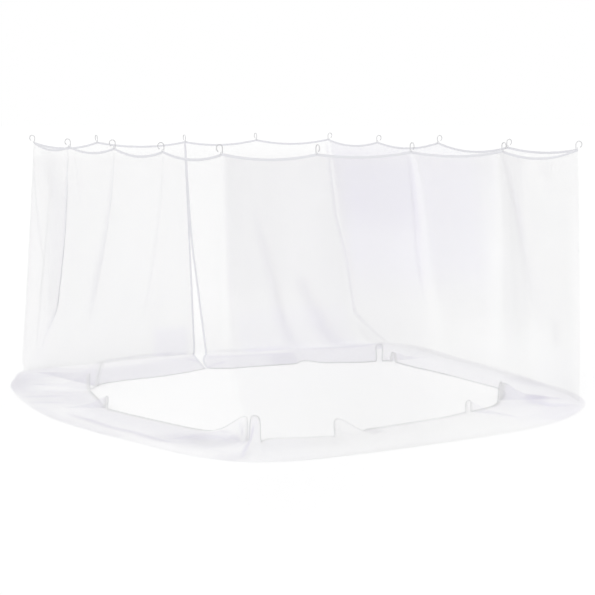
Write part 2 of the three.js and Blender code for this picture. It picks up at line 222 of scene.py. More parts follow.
HOOKS = [
    HookPlace(-0.032, 1, 0.010, 0.041, 90),
    HookPlace(-0.61, 1, 0.004, 0.051, 90),
    HookPlace(-1, 1, 0.000, 0.043, 135),
    HookPlace(-1, 0.52, 0.016, 0.042, 180),
    HookPlace(-1, -0.005, 0.006, 0.046, 180),
    HookPlace(-1, -0.493, 0.008, 0.045, 180),
    HookPlace(-1, -1, 0.000, 0.035, 188, -0.012),
    HookPlace(-0.53, -1, 0.012, 0.027, 270),
    HookPlace(-0.02, -1, 0.008, 0.032, 270),
    HookPlace(0.52, -1, 0.016, 0.060, 270),
    HookPlace(1, -1, 0.014, 0.032, 340, 0.012),
    HookPlace(1, -0.538, 0.016, 0.055, 0),
    HookPlace(1, -0.013, 0.000, 0.051, 0),
    HookPlace(1, 0.513, 0.014, 0.047, 0),
    HookPlace(1, 1, 0.002, 0.040, 5, -0.012),
    HookPlace(0.467, 1, 0.000, 0.036, 90),
]
SPANS = len(HOOKS)
COLUMNS = SPANS * COLUMNS_PER_SPAN

FOOT = [
    FloorPoint(*row)
    for row in (
        (0, 0.030, 1.880), (0.5, -0.420, 1.905), (1, -0.930, 1.890), (1.6, -1.370, 1.930),
        (2, -1.680, 1.880), (2.35, -1.820, 1.640), (2.75, -1.970, 1.310), (3.3, -2.078, 0.670),
        (4, -2.092, 0.020), (4.6, -1.984, -0.550), (5.1, -1.850, -1.018), (5.7, -1.645, -1.615),
        (6.1, -1.412, -1.930), (6.5, -1.100, -2.070), (7, -0.720, -2.125), (8, 0.060, -2.164),
        (8.6, 0.520, -2.164), (9, 0.950, -2.126), (9.6, 1.420, -1.970), (10.1, 1.830, -1.660),
        (10.5, 1.990, -1.350), (11.1, 2.050, -0.900), (11.55, 2.115, -0.470), (12, 2.130, -0.050),
        (12.6, 2.150, 0.500), (13.1, 2.185, 0.930), (13.6, 2.140, 1.260), (14, 1.980, 1.480),
        (14.5, 1.540, 1.530), (15, 1.080, 1.640), (15.5, 0.580, 1.710), (16, 0.166, 1.840),
    )
]

HEM = [
    FloorPoint(*row)
    for row in (
        (0, -0.190, 1.180), (0.35, -0.368, 1.113), (0.7, -0.694, 1.047), (1.2, -1.078, 1.039),
        (1.7, -1.286, 0.985), (2.1, -1.352, 0.906), (2.45, -1.400, 0.857), (2.8, -1.448, 0.809),
        (3.2, -1.500, 0.542), (3.5, -1.560, 0.270), (3.85, -1.593, 0.092), (4.15, -1.575, -0.030),
        (4.4, -1.500, -0.290), (4.75, -1.385, -0.650), (5, -1.300, -0.890), (5.15, -1.225, -1.008),
        (5.3, -1.128, -1.060), (5.5, -1.113, -1.350), (5.7, -1.109, -1.385), (6.1, -1.079, -1.438),
        (6.3, -1.050, -1.480), (6.45, -0.963, -1.446), (6.75, -0.762, -1.529),
        (7.1, -0.535, -1.598), (7.35, -0.497, -1.612), (7.6, -0.260, -1.556), (8.2, 0.100, -1.544),
        (8.65, 0.488, -1.521), (9, 0.801, -1.463), (9.3, 0.936, -1.439), (9.6, 1.061, -1.407),
        (9.85, 1.150, -1.372), (10.1, 1.257, -1.273), (10.35, 1.360, -1.190), (10.6, 1.525, -0.990),
        (10.85, 1.569, -0.872), (11.2, 1.568, -0.610), (12, 1.538, 0.068), (12.3, 1.493, 0.330),
        (12.55, 1.500, 0.600), (13.2, 1.478, 0.664), (13.8, 1.430, 0.672), (14, 1.402, 0.695),
        (14.3, 1.340, 0.674), (14.5, 1.126, 0.772), (14.75, 0.878, 0.905), (14.95, 0.808, 1.081),
        (15.1, 0.701, 0.985), (15.4, 0.310, 1.034), (15.75, -0.025, 1.092), (16, -0.140, 1.180),
    )
]

PUCKERS = [
    Pucker(2.1, 0.212, 0.030, 0.034, 0.064, 0.022, 0.044),
    Pucker(2.8, 0.132, 0.026, 0.028, 0.000, 0.014, 0.034),
    Pucker(3.85, 0.087, 0.028, 0.028, 0.008, 0.020, 0.018),
    Pucker(5.5, 0.156, 0.350, 0.026, 0.000, 0.022, 0.014),
    Pucker(6.1, 0.173, 0.047, 0.047, 0.000, 0.024, 0.020),
    Pucker(7.35, 0.120, 0.030, 0.250, 0.000, 0.020, 0.014),
    Pucker(9, 0.083, 0.032, 0.032, 0.000, 0.022, 0.018),
    Pucker(10.1, 0.143, 0.062, 0.066, -0.010, 0.050, 0.045),
    Pucker(12.55, 0.086, 0.046, 0.052, 0.005, 0.014, 0.022),
    Pucker(14, 0.153, 0.030, 0.032, 0.000, 0.024, 0.024),
]

WALL_ROWS = [
    WallRow(1.740, 0.085),
    WallRow(1.400, 0.175),
    WallRow(1.060, 0.27),
    WallRow(0.720, 0.36),
    WallRow(0.420, 0.44),
    WallRow(0.210, 0.5),
    WallRow(0.100, 0.56),
    WallRow(0.042, 0.65),
    WallRow(0.017, 0.76),
    WallRow(0.013, 0.95),
    WallRow(0.0085, 1),
]
FLAP_ROWS = [
    FlapRow(0, 0.002),
    FlapRow(0.12, 0.001),
    FlapRow(0.4, 0.001),
    FlapRow(0.75, 0.001),
    FlapRow(0.94, 0.001),
    FlapRow(1, 0.001),
]

FOLDS = [
    Fold(*row)
    for row in (
        (0.75, 0.15, 0.35, 0.026, 1.300), (1.45, 0.1, 0.3, -0.028, 1.100),
        (2.05, 0.05, 0.25, 0.090, 0.150), (2.05, 0.05, 0.25, -0.030, 0.900),
        (2.35, 0.1, 0.32, -0.046, 1.150), (2.68, 0, 0.3, 0.034, 0.900),
        (3.0, -0.05, 0.26, -0.042, 1.200), (3.5, -0.05, 0.34, 0.024, 1.000),
        (4.0, -0.05, 0.26, -0.036, 1.350), (4.5, 0, 0.36, 0.022, 0.900),
        (5.0, -0.05, 0.26, -0.026, 1.500), (5.65, 0.05, 0.32, 0.024, 1.000),
        (6.35, 0.1, 0.34, -0.018, 1.300), (7.0, 0.1, 0.3, 0.022, 1.400),
        (7.55, 0.1, 0.36, -0.020, 0.900), (8.03, 0.2, 0.28, 0.032, 1.300),
        (8.5, 0.15, 0.34, -0.020, 1.000), (8.93, -0.05, 0.22, 0.030, 1.200),
        (9.15, 0.12, 0.26, -0.036, 1.300), (9.75, -0.05, 0.3, 0.024, 1.500),
        (9.98, 0, 0.2, 0.014, 0.500), (10.5, 0.1, 0.34, -0.026, 1.100),
        (11.0, 0.1, 0.32, 0.030, 1.300), (11.6, 0.1, 0.36, -0.024, 0.900),
        (12.1, 0.1, 0.3, 0.028, 1.400), (12.8, 0.2, 0.36, -0.026, 1.000),
        (13.5, 0.1, 0.34, 0.026, 1.200), (14.25, 0.15, 0.32, -0.034, 1.100),
        (14.55, -0.05, 0.26, -0.036, 0.700), (14.8, 0, 0.24, 0.026, 0.900),
        (15.02, -0.02, 0.26, -0.036, 0.800), (15.45, 0.1, 0.32, 0.022, 1.100),
    )
]

TONES = [
    Tone(*row)
    for row in (
        (0, 0.02, 0.20, 0.22), (1, 0.02, 0.20, 0.22), (1.9, 0.02, 0.18, 0.22),
        (2.0, 0.00, 0.18, 0.16), (3.0, 0.00, 0.10, 0.14), (3.6, 0.00, 0.00, 0.14),
        (5.4, 0.00, 0.00, 0.12), (5.97, 0.02, 0.00, 0.06), (6.03, 0.18, 0.00, 0.03),
        (7.2, 0.18, 0.00, 0.03), (9.2, 0.15, 0.00, 0.00), (9.5, 0.03, 0.00, 0.00),
        (10.0, 0.02, 0.04, 0.08), (10.3, 0.08, 0.08, 0.08), (12, 0.10, 0.06, 0.06),
        (13.95, 0.18, 0.08, 0.10), (14.05, 0.02, 0.20, 0.22), (15.2, 0.02, 0.20, 0.22),
        (16, 0.02, 0.20, 0.22),
    )
]

# Creases of the walls: places are station and height.
WALL_CREASES = [
    Crease(((2.0, 2.04), (2.29, 1.14), (2.82, 0.64)), (0.012, 0.014), 0.006, 0.35),
    Crease(
        ((2.48, 1.9), (2.84, 1.59), (2.9, 1.1), (2.96, 0.6), (2.85, 0.4)),
        (0.20, 0.08), 0, 0.35,
    ),
    Crease(
        ((2.94, 2.03), (2.96, 1.59), (3.0, 1.1), (3.04, 0.72), (2.75, 0.24)),
        (0.014, 0.02), -0.02, 0.6,
    ),
    Crease(
        ((3.98, 2.0), (3.96, 1.67), (3.93, 1.4), (3.89, 1.06), (3.85, 0.6)),
        (0.014, 0.06), -0.02, 0.45,
    ),
    Crease(((3.1, 2.0), (3.23, 1.87), (3.52, 1.55)), (0.012, 0.012), 0.004, 0.25),
    Crease(
        ((1.1, 0.025), (0.9, 0.03), (0.48, 0.04), (0.08, 0.025)),
        (0.014, 0.016), 0, 0.38, (0, 0.8),
    ),
    Crease(((15.95, 0.03), (15.38, 0.02), (15.0, 0.015)), (0.018, 0.022), 0, 0.42, (0.6, 0.6)),
    Crease(((5.0, 2.0), (4.93, 1.44), (4.88, 1.02), (4.84, 0.8)), (0.014, 0.02), -0.01, 0.25),
    Crease(
        ((15.15, 1.45), (15.12, 1.17), (15.08, 0.98), (14.98, 0.39), (14.88, 0.06)),
        (0.04, 0.07), -0.02, 0.35, (0, 0.8),
    ),
    Crease(
        ((14.66, 0.8), (14.64, 0.6), (14.5, 0.24), (14.38, 0.05)),
        (0.05, 0.10), -0.03, 0.40, (0, 0.8),
    ),
    Crease(
        ((14.03, 2.0), (14.07, 1.32), (13.98, 0.83), (13.98, 0.32), (13.6, 0.08)),
        (0.014, 0.02), -0.015, 0.55, (0.6, 0.6),
    ),
    Crease(
        ((8.02, 2.02), (8.05, 1.85), (8.07, 1.17), (8.14, 0.87), (8.16, 0.42)),
        (0.025, 0.08), 0.02, -0.22, (1, 0),
    ),
    Crease(((7.98, 2.02), (7.99, 1.3), (8.04, 0.9)), (0.012, 0.014), -0.01, 0.35),
    Crease(
        ((8.93, 2.02), (8.84, 1.14), (8.82, 0.72), (8.8, 0.4)),
        (0.03, 0.06), 0.02, -0.22, (1, 0),
    ),
    Crease(
        ((9.02, 2.0), (9.21, 1.55), (9.29, 1.17), (9.36, 0.8), (9.45, 0.6)),
        (0.03, 0.07), -0.02, 0.30,
    ),
    Crease(((6.0, 2.03), (6.05, 1.1), (6.12, 0.4)), (0.012, 0.012), 0, 0.12, (1, 1)),
]
WALL_PATCHES = [
    Patch((6.03, 9.25), (0.7, 2.2), (0.05, 0.5), 0.17),
    Patch((12.45, 13.97), (1.25, 1.95), (0.05, 0.40), 0.24),
    Patch((11.1, 12.3), (1.35, 1.95), (0.15, 0.40), 0.06),
    Patch((-1, 2.02), (-0.1, 1.93), (0.04, 0.12), 0.15),
    Patch((14.02, 15.5), (-0.1, 1.93), (0.04, 0.12), 0.13),
    Patch((15.5, 17), (-0.1, 1.93), (0.04, 0.12), 0.06),
    Patch((10.35, 10.55), (1.8, 1.95), (0.15, 0.1), 0.12),
    Patch((10.38, 10.5), (0.45, 0.65), (0.12, 0.1), 0.18),
    Patch((4.5, 5.2), (0.75, 1.1), (0.3, 0.3), 0.08),
    Patch((0.05, 0.42), (0.02, 0.28), (0.12, 0.12), 0.14),
    Patch((6.05, 9.5), (-0.1, 0.4), (0.1, 0.3), -0.07),
    Patch((2.8, 5.0), (0.05, 0.55), (0.5, 0.25), -0.18),
    Patch((6.0, 8.8), (0.6, 1.1), (0.1, 0.25), -0.1),
    Patch((7.9, 8.9), (1.1, 1.9), (0.3, 0.3), -0.07),
    Patch((8.75, 8.98), (1.2, 1.9), (0.1, 0.3), -0.08),
    Patch((8.75, 9.2), (1.1, 1.8), (0.15, 0.3), -0.05),
    Patch((9.5, 9.95), (1.7, 2.1), (0.1, 0.15), 0.08),
    Patch((7.3, 7.9), (1.1, 2.0), (0.2, 0.15), -0.07),
    Patch((5.98, 6.9), (0.7, 1.15), (0.05, 0.2), -0.06),
    Patch((6.0, 6.13), (0.05, 0.6), (0.04, 0.2), -0.16),
    Patch((10.1, 10.75), (0.6, 1.7), (0.15, 0.3), 0.09),
    Patch((8.1, 9.95), (-0.1, 1.2), (0.6, 0.6), -0.13),
    Patch((9.3, 9.95), (0.1, 1.3), (0.2, 0.4), -0.08),
    Patch((10.6, 13.9), (-0.1, 0.5), (0.6, 0.4), -0.10),
]

# Creases of the flap: places are station and share of the way from the foot to the hem.
FLAP_CREASES = [
    # between the door and the left corner
    Crease(((1.25, 0.26), (0.35, 0.26)), (0.03, 0.03), 0, -0.2),
    Crease(((15.95, 0.27), (15.46, 0.28), (15.12, 0.34)), (0.025, 0.025), 0, 0.25, (1, 0.5)),
    Crease(((0.12, 0.3), (0.05, 0.38), (0.0, 0.47)), (0.02, 0.02), 0, 0.35, (0.5, 1)),
    Crease(((16.0, 0.75), (15.89, 0.59), (15.75, 0.47)), (0.02, 0.02), 0, 0.35, (1, 0.5)),
    # fan at the left corner
    Crease(((2.2, 0.33), (2.15, 0.45), (2.16, 0.62)), (0.014, 0.016), -0.004, 0.2),
    Crease(((2.35, 0.24), (2.32, 0.34), (2.3, 0.44)), (0.014, 0.012), -0.004, 0.25),
    Crease(((2.25, 0.35), (2.22, 0.45)), (0.008, 0.008), 0, -0.15),
    Crease(((2.97, 0.28), (2.98, 0.56)), (0.01, 0.01), 0.004, 0.15),
    Crease(((2.98, 0.56), (3.0, 0.91)), (0.008, 0.008), 0.004, -0.2),
    Crease(((3.14, 0.2), (3.12, 0.55)), (0.024, 0.02), -0.006, 0.3),
    Crease(((3.34, 0.18), (3.39, 0.5)), (0.022, 0.02), -0.006, 0.3),
    Crease(((3.54, 0.26), (3.56, 0.38)), (0.012, 0.012), 0, 0.2),
    # along the near-left wall
    Crease(
        ((3.95, 0.38), (4.3, 0.38), (4.6, 0.35), (4.85, 0.37), (5.3, 0.31), (5.46, 0.34)),
        (0.018, 0.014), 0.006, 0.5, (0.3, 0.6),
    ),
    # near corner
    Crease(
        ((5.12, 0.5), (5.42, 0.48), (5.6, 0.54), (5.69, 0.72)),
        (0.085, 0.014), 0, 0.5, (0.5, 1),
    ),
    Crease(
        ((5.46, 0.34), (5.64, 0.36), (5.64, 0.46), (5.66, 0.55), (5.7, 0.75)),
        (0.008, 0.008), 0, 0.2,
    ),
    Crease(((5.2, 0.66), (5.32, 0.62), (5.6, 0.61), (5.7, 0.75)), (0.008, 0.008), 0, 0.3),
    Crease(((5.5, 0.8), (5.58, 0.75), (5.68, 0.8)), (0.009, 0.009), 0, 0.45, (0.6, 1)),
    Crease(((5.62, 0.34), (5.77, 0.38), (6.0, 0.34)), (0.008, 0.008), 0.004, 0.2),
    Crease(((5.75, 0.03), (6.05, 0.02)), (0.012, 0.012), 0, 0.3),
    Crease(
        ((6.07, 0.69), (6.07, 0.5), (6.055, 0.36), (6.05, 0.24)),
        (0.016, 0.02), 0, 0.75, (1, 0.6),
    ),
    Crease(((6.21, 0.66), (6.25, 0.56), (6.27, 0.25)), (0.008, 0.008), 0, 0.25, (1, 0)),
    # along the near-right wall
    Crease(((6.6, 0.42), (7.0, 0.31)), (0.025, 0.02), 0.004, -0.15),
    Crease(((7.28, 0.76), (7.2, 0.68)), (0.008, 0.008), 0, 0.2),
    Crease(((7.28, 0.63), (7.39, 0.5)), (0.009, 0.009), 0.004, 0.25),
    Crease(((9.36, 0.88), (9.2, 0.6), (9.15, 0.42), (9.09, 0.28)), (0.014, 0.014), 0.004, 0.2),
    # right corner
    Crease(
        ((9.95, 0.55), (9.93, 0.47), (9.91, 0.38), (9.98, 0.2)),
        (0.03, 0.01), -0.006, 0.4, (0.6, 0.4),
    ),
    # far corner
    Crease(((12.6, 0.75), (13.1, 0.44), (13.18, 0.28), (13.1, 0.12)), (0.02, 0.03), 0, 0.2),
    Crease(
        ((13.95, 0.03), (14.32, 0.13), (14.52, 0.09), (14.93, 0.1), (15.1, 0.08)),
        (0.04, 0.035), 0, 0.42,
    ),
]
FLAP_PATCHES = [
    Patch((2.1, 2.95), (-0.2, 0.3), (0.3, 0.2), 0.2),
    Patch((0.05, 1.5), (0.02, 0.22), (0.1, 0.06), -0.22),
    Patch((15.15, 15.95), (0.02, 0.22), (0.1, 0.06), -0.15),
    Patch((3.5, 4.9), (-0.1, 0.26), (0.2, 0.1), 0.13),
    Patch((8.3, 9.0), (0.4, 1.1), (0.1, 0.1), -0.15),
    Patch((1.9, 2.95), (0.45, 1.1), (0.1, 0.2), -0.28),
    Patch((2.95, 3.45), (0.25, 0.7), (0.1, 0.15), 0.1),
    Patch((4.1, 5.35), (0.34, 0.8), (0.5, 0.08), 0.06),
    Patch((5.28, 5.6), (0.66, 0.96), (0.1, 0.08), -0.4),
    Patch((5.2, 5.95), (-0.1, 0.3), (0.2, 0.1), -0.12),
    Patch((7.2, 7.5), (-0.1, 0.5), (0.1, 0.1), -0.1),
    Patch((5.8, 6.03), (0.12, 0.32), (0.08, 0.08), 0.22),
    Patch((6.02, 6.16), (0.6, 1.1), (0.04, 0.1), 0.2),
    Patch((6.09, 6.22), (0.1, 0.6), (0.04, 0.1), -0.35),
    Patch((6.28, 7.15), (0.48, 1.1), (0.1, 0.08), 0.06),
    Patch((7.6, 7.84), (0.65, 1.1), (0.08, 0.1), 0.28),
    Patch((9.35, 9.95), (0.05, 0.42), (0.2, 0.15), 0.08),
    Patch((9.93, 10.5), (0.43, 0.57), (0.06, 0.06), 0.25),
    Patch((10.95, 11.45), (0.08, 0.35), (0.2, 0.12), 0.15),
    Patch((15.08, 15.32), (0.3, 1.1), (0.1, 0.12), 0.28),
]

# Painted shade with a violet tint: on the flap by station, and on the walls by patches.
FLAP_LILAC_SHADE = [
    (0.0, 0.6), (6.6, 0.5), (6.9, 0.0), (8.9, 0.0), (9.2, 0.8), (10.2, 0.8), (10.5, 0.6),
    (16.0, 0.6),
]
LILAC_SHADE_PATCHES = [
    Patch((11.5, 13.98), (0.8, 2.1), (0.3, 0.5), 1.0),
    Patch((7.3, 8.9), (1.1, 2.0), (0.2, 0.4), 0.5),
    Patch((0.05, 0.42), (0.0, 0.3), (0.12, 0.12), 0.7),
    Patch((14.1, 15.5), (-0.1, 0.4), (0.2, 0.2), 0.7),
    Patch((9.3, 9.9), (-0.1, 0.5), (0.2, 0.2), 0.4),
    Patch((2.45, 3.0), (0.1, 0.6), (0.2, 0.3), 0.3),
]

# Crowding of the threads in the rolled hem: station and amount.
HEM_CROWDING = [
    (0.0, 0.15), (0.2, 0.05), (2.0, 0.05), (2.15, 0.15), (3.1, 0.18), (3.4, 0.2), (3.85, 0.38),
    (4.1, 0.25), (5.05, 0.2), (5.2, 0.05), (5.55, 0.05), (5.65, 0.15), (5.9, 0.28), (6.28, 0.3),
    (6.36, 0.0), (7.1, 0.03), (7.18, 0.3), (7.32, 0.35), (7.45, 0.08), (7.7, 0.08), (7.9, 0.15),
    (8.3, 0.2), (8.5, 0.1), (8.8, 0.18), (9.0, 0.35), (9.3, 0.2), (9.7, 0.25), (9.9, 0.45),
    (10.3, 0.35), (10.5, 0.5), (10.75, 0.58), (10.9, 0.2), (11.5, 0.12), (11.8, 0.4), (12.2, 0.5),
    (12.3, 0.75), (12.48, 0.75), (12.58, 0.5), (13.0, 0.5), (13.85, 0.6), (14.3, 0.6), (14.5, 0.45),
    (15.2, 0.35), (16.0, 0.3),
]


# ---- Curves and grids ----

LEAST_GAP = 1e-3  # between two knots of a curve


def stretch(p: np.ndarray, dt: np.ndarray, t: np.ndarray | float) -> np.ndarray:
    """Points of one stretch of a centripetal curve.

    Args:
        p: Four neighbouring points, the stretch running from the second to the third.
        dt: The three knot distances between them.
        t: Shares of the way along the stretch.

    Returns:
        The points, one for each share.
    """
    t1 = (p[1] - p[0]) / dt[0] - (p[2] - p[0]) / (dt[0] + dt[1]) + (p[2] - p[1]) / dt[1]
    t2 = (p[2] - p[1]) / dt[1] - (p[3] - p[1]) / (dt[1] + dt[2]) + (p[3] - p[2]) / dt[2]
    t1, t2 = t1 * dt[1], t2 * dt[1]
    c2 = -3 * p[1] + 3 * p[2] - 2 * t1 - t2
    c3 = 2 * p[1] - 2 * p[2] + t1 + t2
    return p[1] + t1 * t + c2 * t**2 + c3 * t**3


def with_ends(points: np.ndarray) -> np.ndarray:
    """The points with one more at each end, as far on as the last one's neighbour is back."""
    return np.concatenate([[2 * points[0] - points[1]], points, [2 * points[-1] - points[-2]]])


def knot_gaps(points: np.ndarray) -> np.ndarray:
    """Centripetal knot distances between points along the first axis."""
    lengths = np.linalg.norm(np.diff(points, axis=0), axis=-1, keepdims=True)
    return np.maximum(lengths**0.5, LEAST_GAP)


def refine(points: np.ndarray, counts: list[int]) -> np.ndarray:
    """Rounds lines of points into finer ones, along the first axis.

    Args:
        points: Array [n, ..., 3], each line running along the first axis.
        counts: Number of steps in each of its n - 1 stretches.

    Returns:
        The finer array, through every given point.
    """
    ends = with_ends(points)
    gaps = knot_gaps(ends)
    beside = (1,) * (points.ndim - 1)
    parts = [
        stretch(ends[i : i + 4], gaps[i : i + 3], np.arange(n).reshape(-1, *beside) / n)
        for i, n in enumerate(counts)
    ]
    return np.concatenate([*parts, points[-1:]])


def floor_line(rows: list[FloorPoint], stations: np.ndarray) -> np.ndarray:
    """Points of a floor line at the given stations.

    Args:
        rows: The line's table.
        stations: Stations, in hooks from the door.

    Returns:
        Array [n, 3] with z at 0.
    """
    ends = with_ends(np.array([(row.x, row.y, 0.0) for row in rows]))
    gaps = knot_gaps(ends)
    marks = np.array([row.station for row in rows])
    out = np.empty((len(stations), 3))
    for n, station in enumerate(stations):
        k = int(np.clip(np.searchsorted(marks, station, side="left") - 1, 0, len(rows) - 2))
        t = float(np.clip((station - marks[k]) / (marks[k + 1] - marks[k]), 0, 1))
        out[n] = stretch(ends[k : k + 4], gaps[k : k + 3], t)
    return out


def hook_peak(i: int) -> np.ndarray:
    """Place where hook i holds the tape's top edge, counting on past the last hook."""
    hook = HOOKS[i % SPANS]
    return np.array((hook.x * WIDTH / 2, hook.y * DEPTH / 2, HANG - hook.drop))


def tape_top(station: float) -> np.ndarray:
    """Point of the tape's top edge, straight in plan and a shallow swag in height.

    Args:
        station: Station along the tape, in hooks from the door.

    Returns:
        The point.
    """
    i = min(int(math.floor(station)), SPANS - 1)
    t = station - i
    point = hook_peak(i) * (1 - t) + hook_peak(i + 1) * t
    point[2] -= HOOKS[i].sag * 4 * t * (1 - t)
    return point


def outward_at(station: float) -> np.ndarray:
    """Outward direction of the walls in plan, turned halfway at a corner.

    Args:
        station: Station along the tape, in hooks from the door.

    Returns:
        The unit direction, level.
    """
    step = 0.04
    along = tape_top((station + step) % SPANS) - tape_top((station - step + SPANS) % SPANS)
    along[2] = 0
    along /= np.linalg.norm(along)
    return np.array((along[1], -along[0], 0.0))


def hole_at(i: int) -> np.ndarray:
    """Place of a hook's hole through the top tape.

    Args:
        i: Number of the hook.

    Returns:
        The hole's centre.
    """
    slip = HOOKS[i].slip
    span = np.linalg.norm(hook_peak(i) - hook_peak(i - 1 if slip < 0 else i + 1))
    return tape_top(i + slip / span) - np.array((0, 0, EYE_DROP))


def under_tape(x: float) -> float:
    """Height just under the top tape beside the door's hook.

    Args:
        x: Place along the door's wall.

    Returns:
        The height.
    """
    hook = hook_peak(0)
    beside = tape_top(1 / COLUMNS_PER_SPAN if x < hook[0] else SPANS - 1 / COLUMNS_PER_SPAN)
    t = (x - hook[0]) / (beside[0] - hook[0])
    return float(hook[2] + (beside[2] - hook[2]) * t - TOP_TAPE_WIDTH - SEAM)


def fold_depth(station: float, height: float) -> float:
    """How far the wall's main folds carry the net outwards.

    Args:
        station: Station along the tape, in hooks from the door.
        height: Height over the floor.

    Returns:
        The distance, negative where the net is carried inwards.
    """
    fall = 1 - height / HANG
    depth = 0.0
    for fold in FOLDS:
        away = abs(station - fold.station - fold.drift * fall) / fold.reach
        if away >= 1:
            continue
        across = 0.5 + 0.5 * math.cos(math.pi * away)
        span = HANG - fold.full if height > fold.full else fold.full
        along = math.cos(math.pi / 2 * min(abs(height - fold.full) / span, 1))
        depth += fold.depth * across * along
    return depth


def eased(x: np.ndarray) -> np.ndarray:
    """Smooth step from 0 to 1."""
    x = np.clip(x, 0, 1)
    return x * x * (3 - 2 * x)


def grid_normals(grid: np.ndarray) -> np.ndarray:
    """Unit normals of a grid, from the neighbours in both directions.

    Args:
        grid: Points [columns, rows, 3].

    Returns:
        The normals, in the same order.
    """
    across = np.gradient(grid, axis=0)
    down = np.gradient(grid, axis=1)
    normals = np.cross(down, across)
    return normals / np.linalg.norm(normals, axis=2, keepdims=True)


# ---- Objects from grids ----


def deselect() -> None:
    """Leaves object mode with nothing selected."""
    if bpy.context.object and bpy.context.object.mode != "OBJECT":
        bpy.ops.object.mode_set(mode="OBJECT")
    bpy.ops.object.select_all(action="DESELECT")


def activate(piece: bpy.types.Object) -> None:
    """Makes a piece the active object and the only selected one.

    Args:
        piece: The piece.
    """
    deselect()
    piece.select_set(True)
    bpy.context.view_layer.objects.active = piece


def grid_sheet(
    name: str,
    grid: np.ndarray,
    metres: np.ndarray,
    marks: dict[str, np.ndarray] | None = None,
) -> bpy.types.Object:
    """A sheet modelled from a grid primitive, moved onto the given points.

    Args:
        name: The piece's name.
        grid: Points [columns, rows, 3] in the design frame, columns anticlockwise, rows down.
        metres: The cloth's own coordinates [columns, rows, 2], kept as the UV map Cloth.
        marks: Numbers [columns, rows] kept as point attributes, by name.

    Returns:
        The object, with its place in its mesh.
    """
    columns, rows = grid.shape[:2]
    deselect()
    bpy.ops.mesh.primitive_grid_add(x_subdivisions=columns - 1, y_subdivisions=rows - 1, size=1)
    piece = bpy.context.object
    piece.name = piece.data.name = name
    mesh = piece.data
    flat = np.empty(len(mesh.vertices) * 3)
    mesh.vertices.foreach_get("co", flat)
    flat = flat.reshape(-1, 3)
    i = np.rint((flat[:, 0] + 0.5) * (columns - 1)).astype(int)
    j = np.rint((0.5 - flat[:, 1]) * (rows - 1)).astype(int)
    mesh.vertices.foreach_set("co", (grid[i, j] + ORIGIN).ravel())
    corner = np.empty(len(mesh.loops), dtype=np.int32)
    mesh.loops.foreach_get("vertex_index", corner)
    layer = mesh.uv_layers[0]
    layer.name = "Cloth"
    layer.data.foreach_set("uv", metres[i[corner], j[corner]].ravel())
    for title, values in (marks or {}).items():
        attribute = mesh.attributes.new(title, "FLOAT", "POINT")
        attribute.data.foreach_set("value", values[i, j])
    mesh.update()
    return piece


def apply_modifiers(piece: bpy.types.Object) -> None:
    """Applies all of a piece's modifiers, in order.

    Args:
        piece: The piece.
    """
    activate(piece)
    for modifier in list(piece.modifiers):
        bpy.ops.object.modifier_apply(modifier=modifier.name)


def smooth(piece: bpy.types.Object, degrees: float) -> None:
    """Shades a piece smooth, apart from edges sharper than the angle."""
    activate(piece)
    bpy.ops.object.shade_smooth_by_angle(angle=math.radians(degrees))


# ---- Shader groups ----


def node_group(
    name: str,
    inputs: dict[str, float | None],
    outputs: dict[str, str],
) -> tuple[bpy.types.ShaderNodeTree, bpy.types.Node, bpy.types.Node]:
    """An empty shader group with named sockets.

    Args:
        name: The group's name.
        inputs: Name and default of each input, None for a vector.
        outputs: Name and socket type of each output.

    Returns:
        The tree, its input node and its output node.
    """
    tree = bpy.data.node_groups.new(name, "ShaderNodeTree")
    for title, value in inputs.items():
        kind = "NodeSocketVector" if value is None else "NodeSocketFloat"
        socket = tree.interface.new_socket(title, in_out="INPUT", socket_type=kind)
        if value is not None:
            socket.default_value = value
    for title, kind in outputs.items():
        tree.interface.new_socket(title, in_out="OUTPUT", socket_type=kind)
    return tree, tree.nodes.new("NodeGroupInput"), tree.nodes.new("NodeGroupOutput")


def maths(
    tree: bpy.types.NodeTree,
    operation: str,
    a: float | bpy.types.NodeSocket,
    b: float | bpy.types.NodeSocket | None = None,
    clamp: bool = False,
) -> bpy.types.NodeSocket:
    """A Math node. Each operand is a number or the socket that it comes from.

    Args:
        tree: The node tree.
        operation: The node's operation.
        a: First operand.
        b: Second operand, if the operation has one.
        clamp: Whether the result is held between 0 and 1.

    Returns:
        The node's output socket.
    """
    node = tree.nodes.new("ShaderNodeMath")
    node.operation = operation
    node.use_clamp = clamp
    for slot, value in enumerate((a, b)):
        if isinstance(value, (int, float)):
            node.inputs[slot].default_value = value
        elif value is not None:
            tree.links.new(value, node.inputs[slot])
    return node.outputs[0]


def seen_directly(tree: bpy.types.NodeTree) -> bpy.types.NodeSocket:
    """Tells where the camera, a reflection or a clear surface looks straight on.

    Args:
        tree: The node tree of a material or the world.

    Returns:
        A socket that is 1 there and 0 for light that bounces.
    """
    path = tree.nodes.new("ShaderNodeLightPath")
    seen = maths(tree, "ADD", path.outputs["Is Camera Ray"], path.outputs["Is Glossy Ray"])
    return maths(tree, "ADD", seen, path.outputs["Is Transmission Ray"], clamp=True)


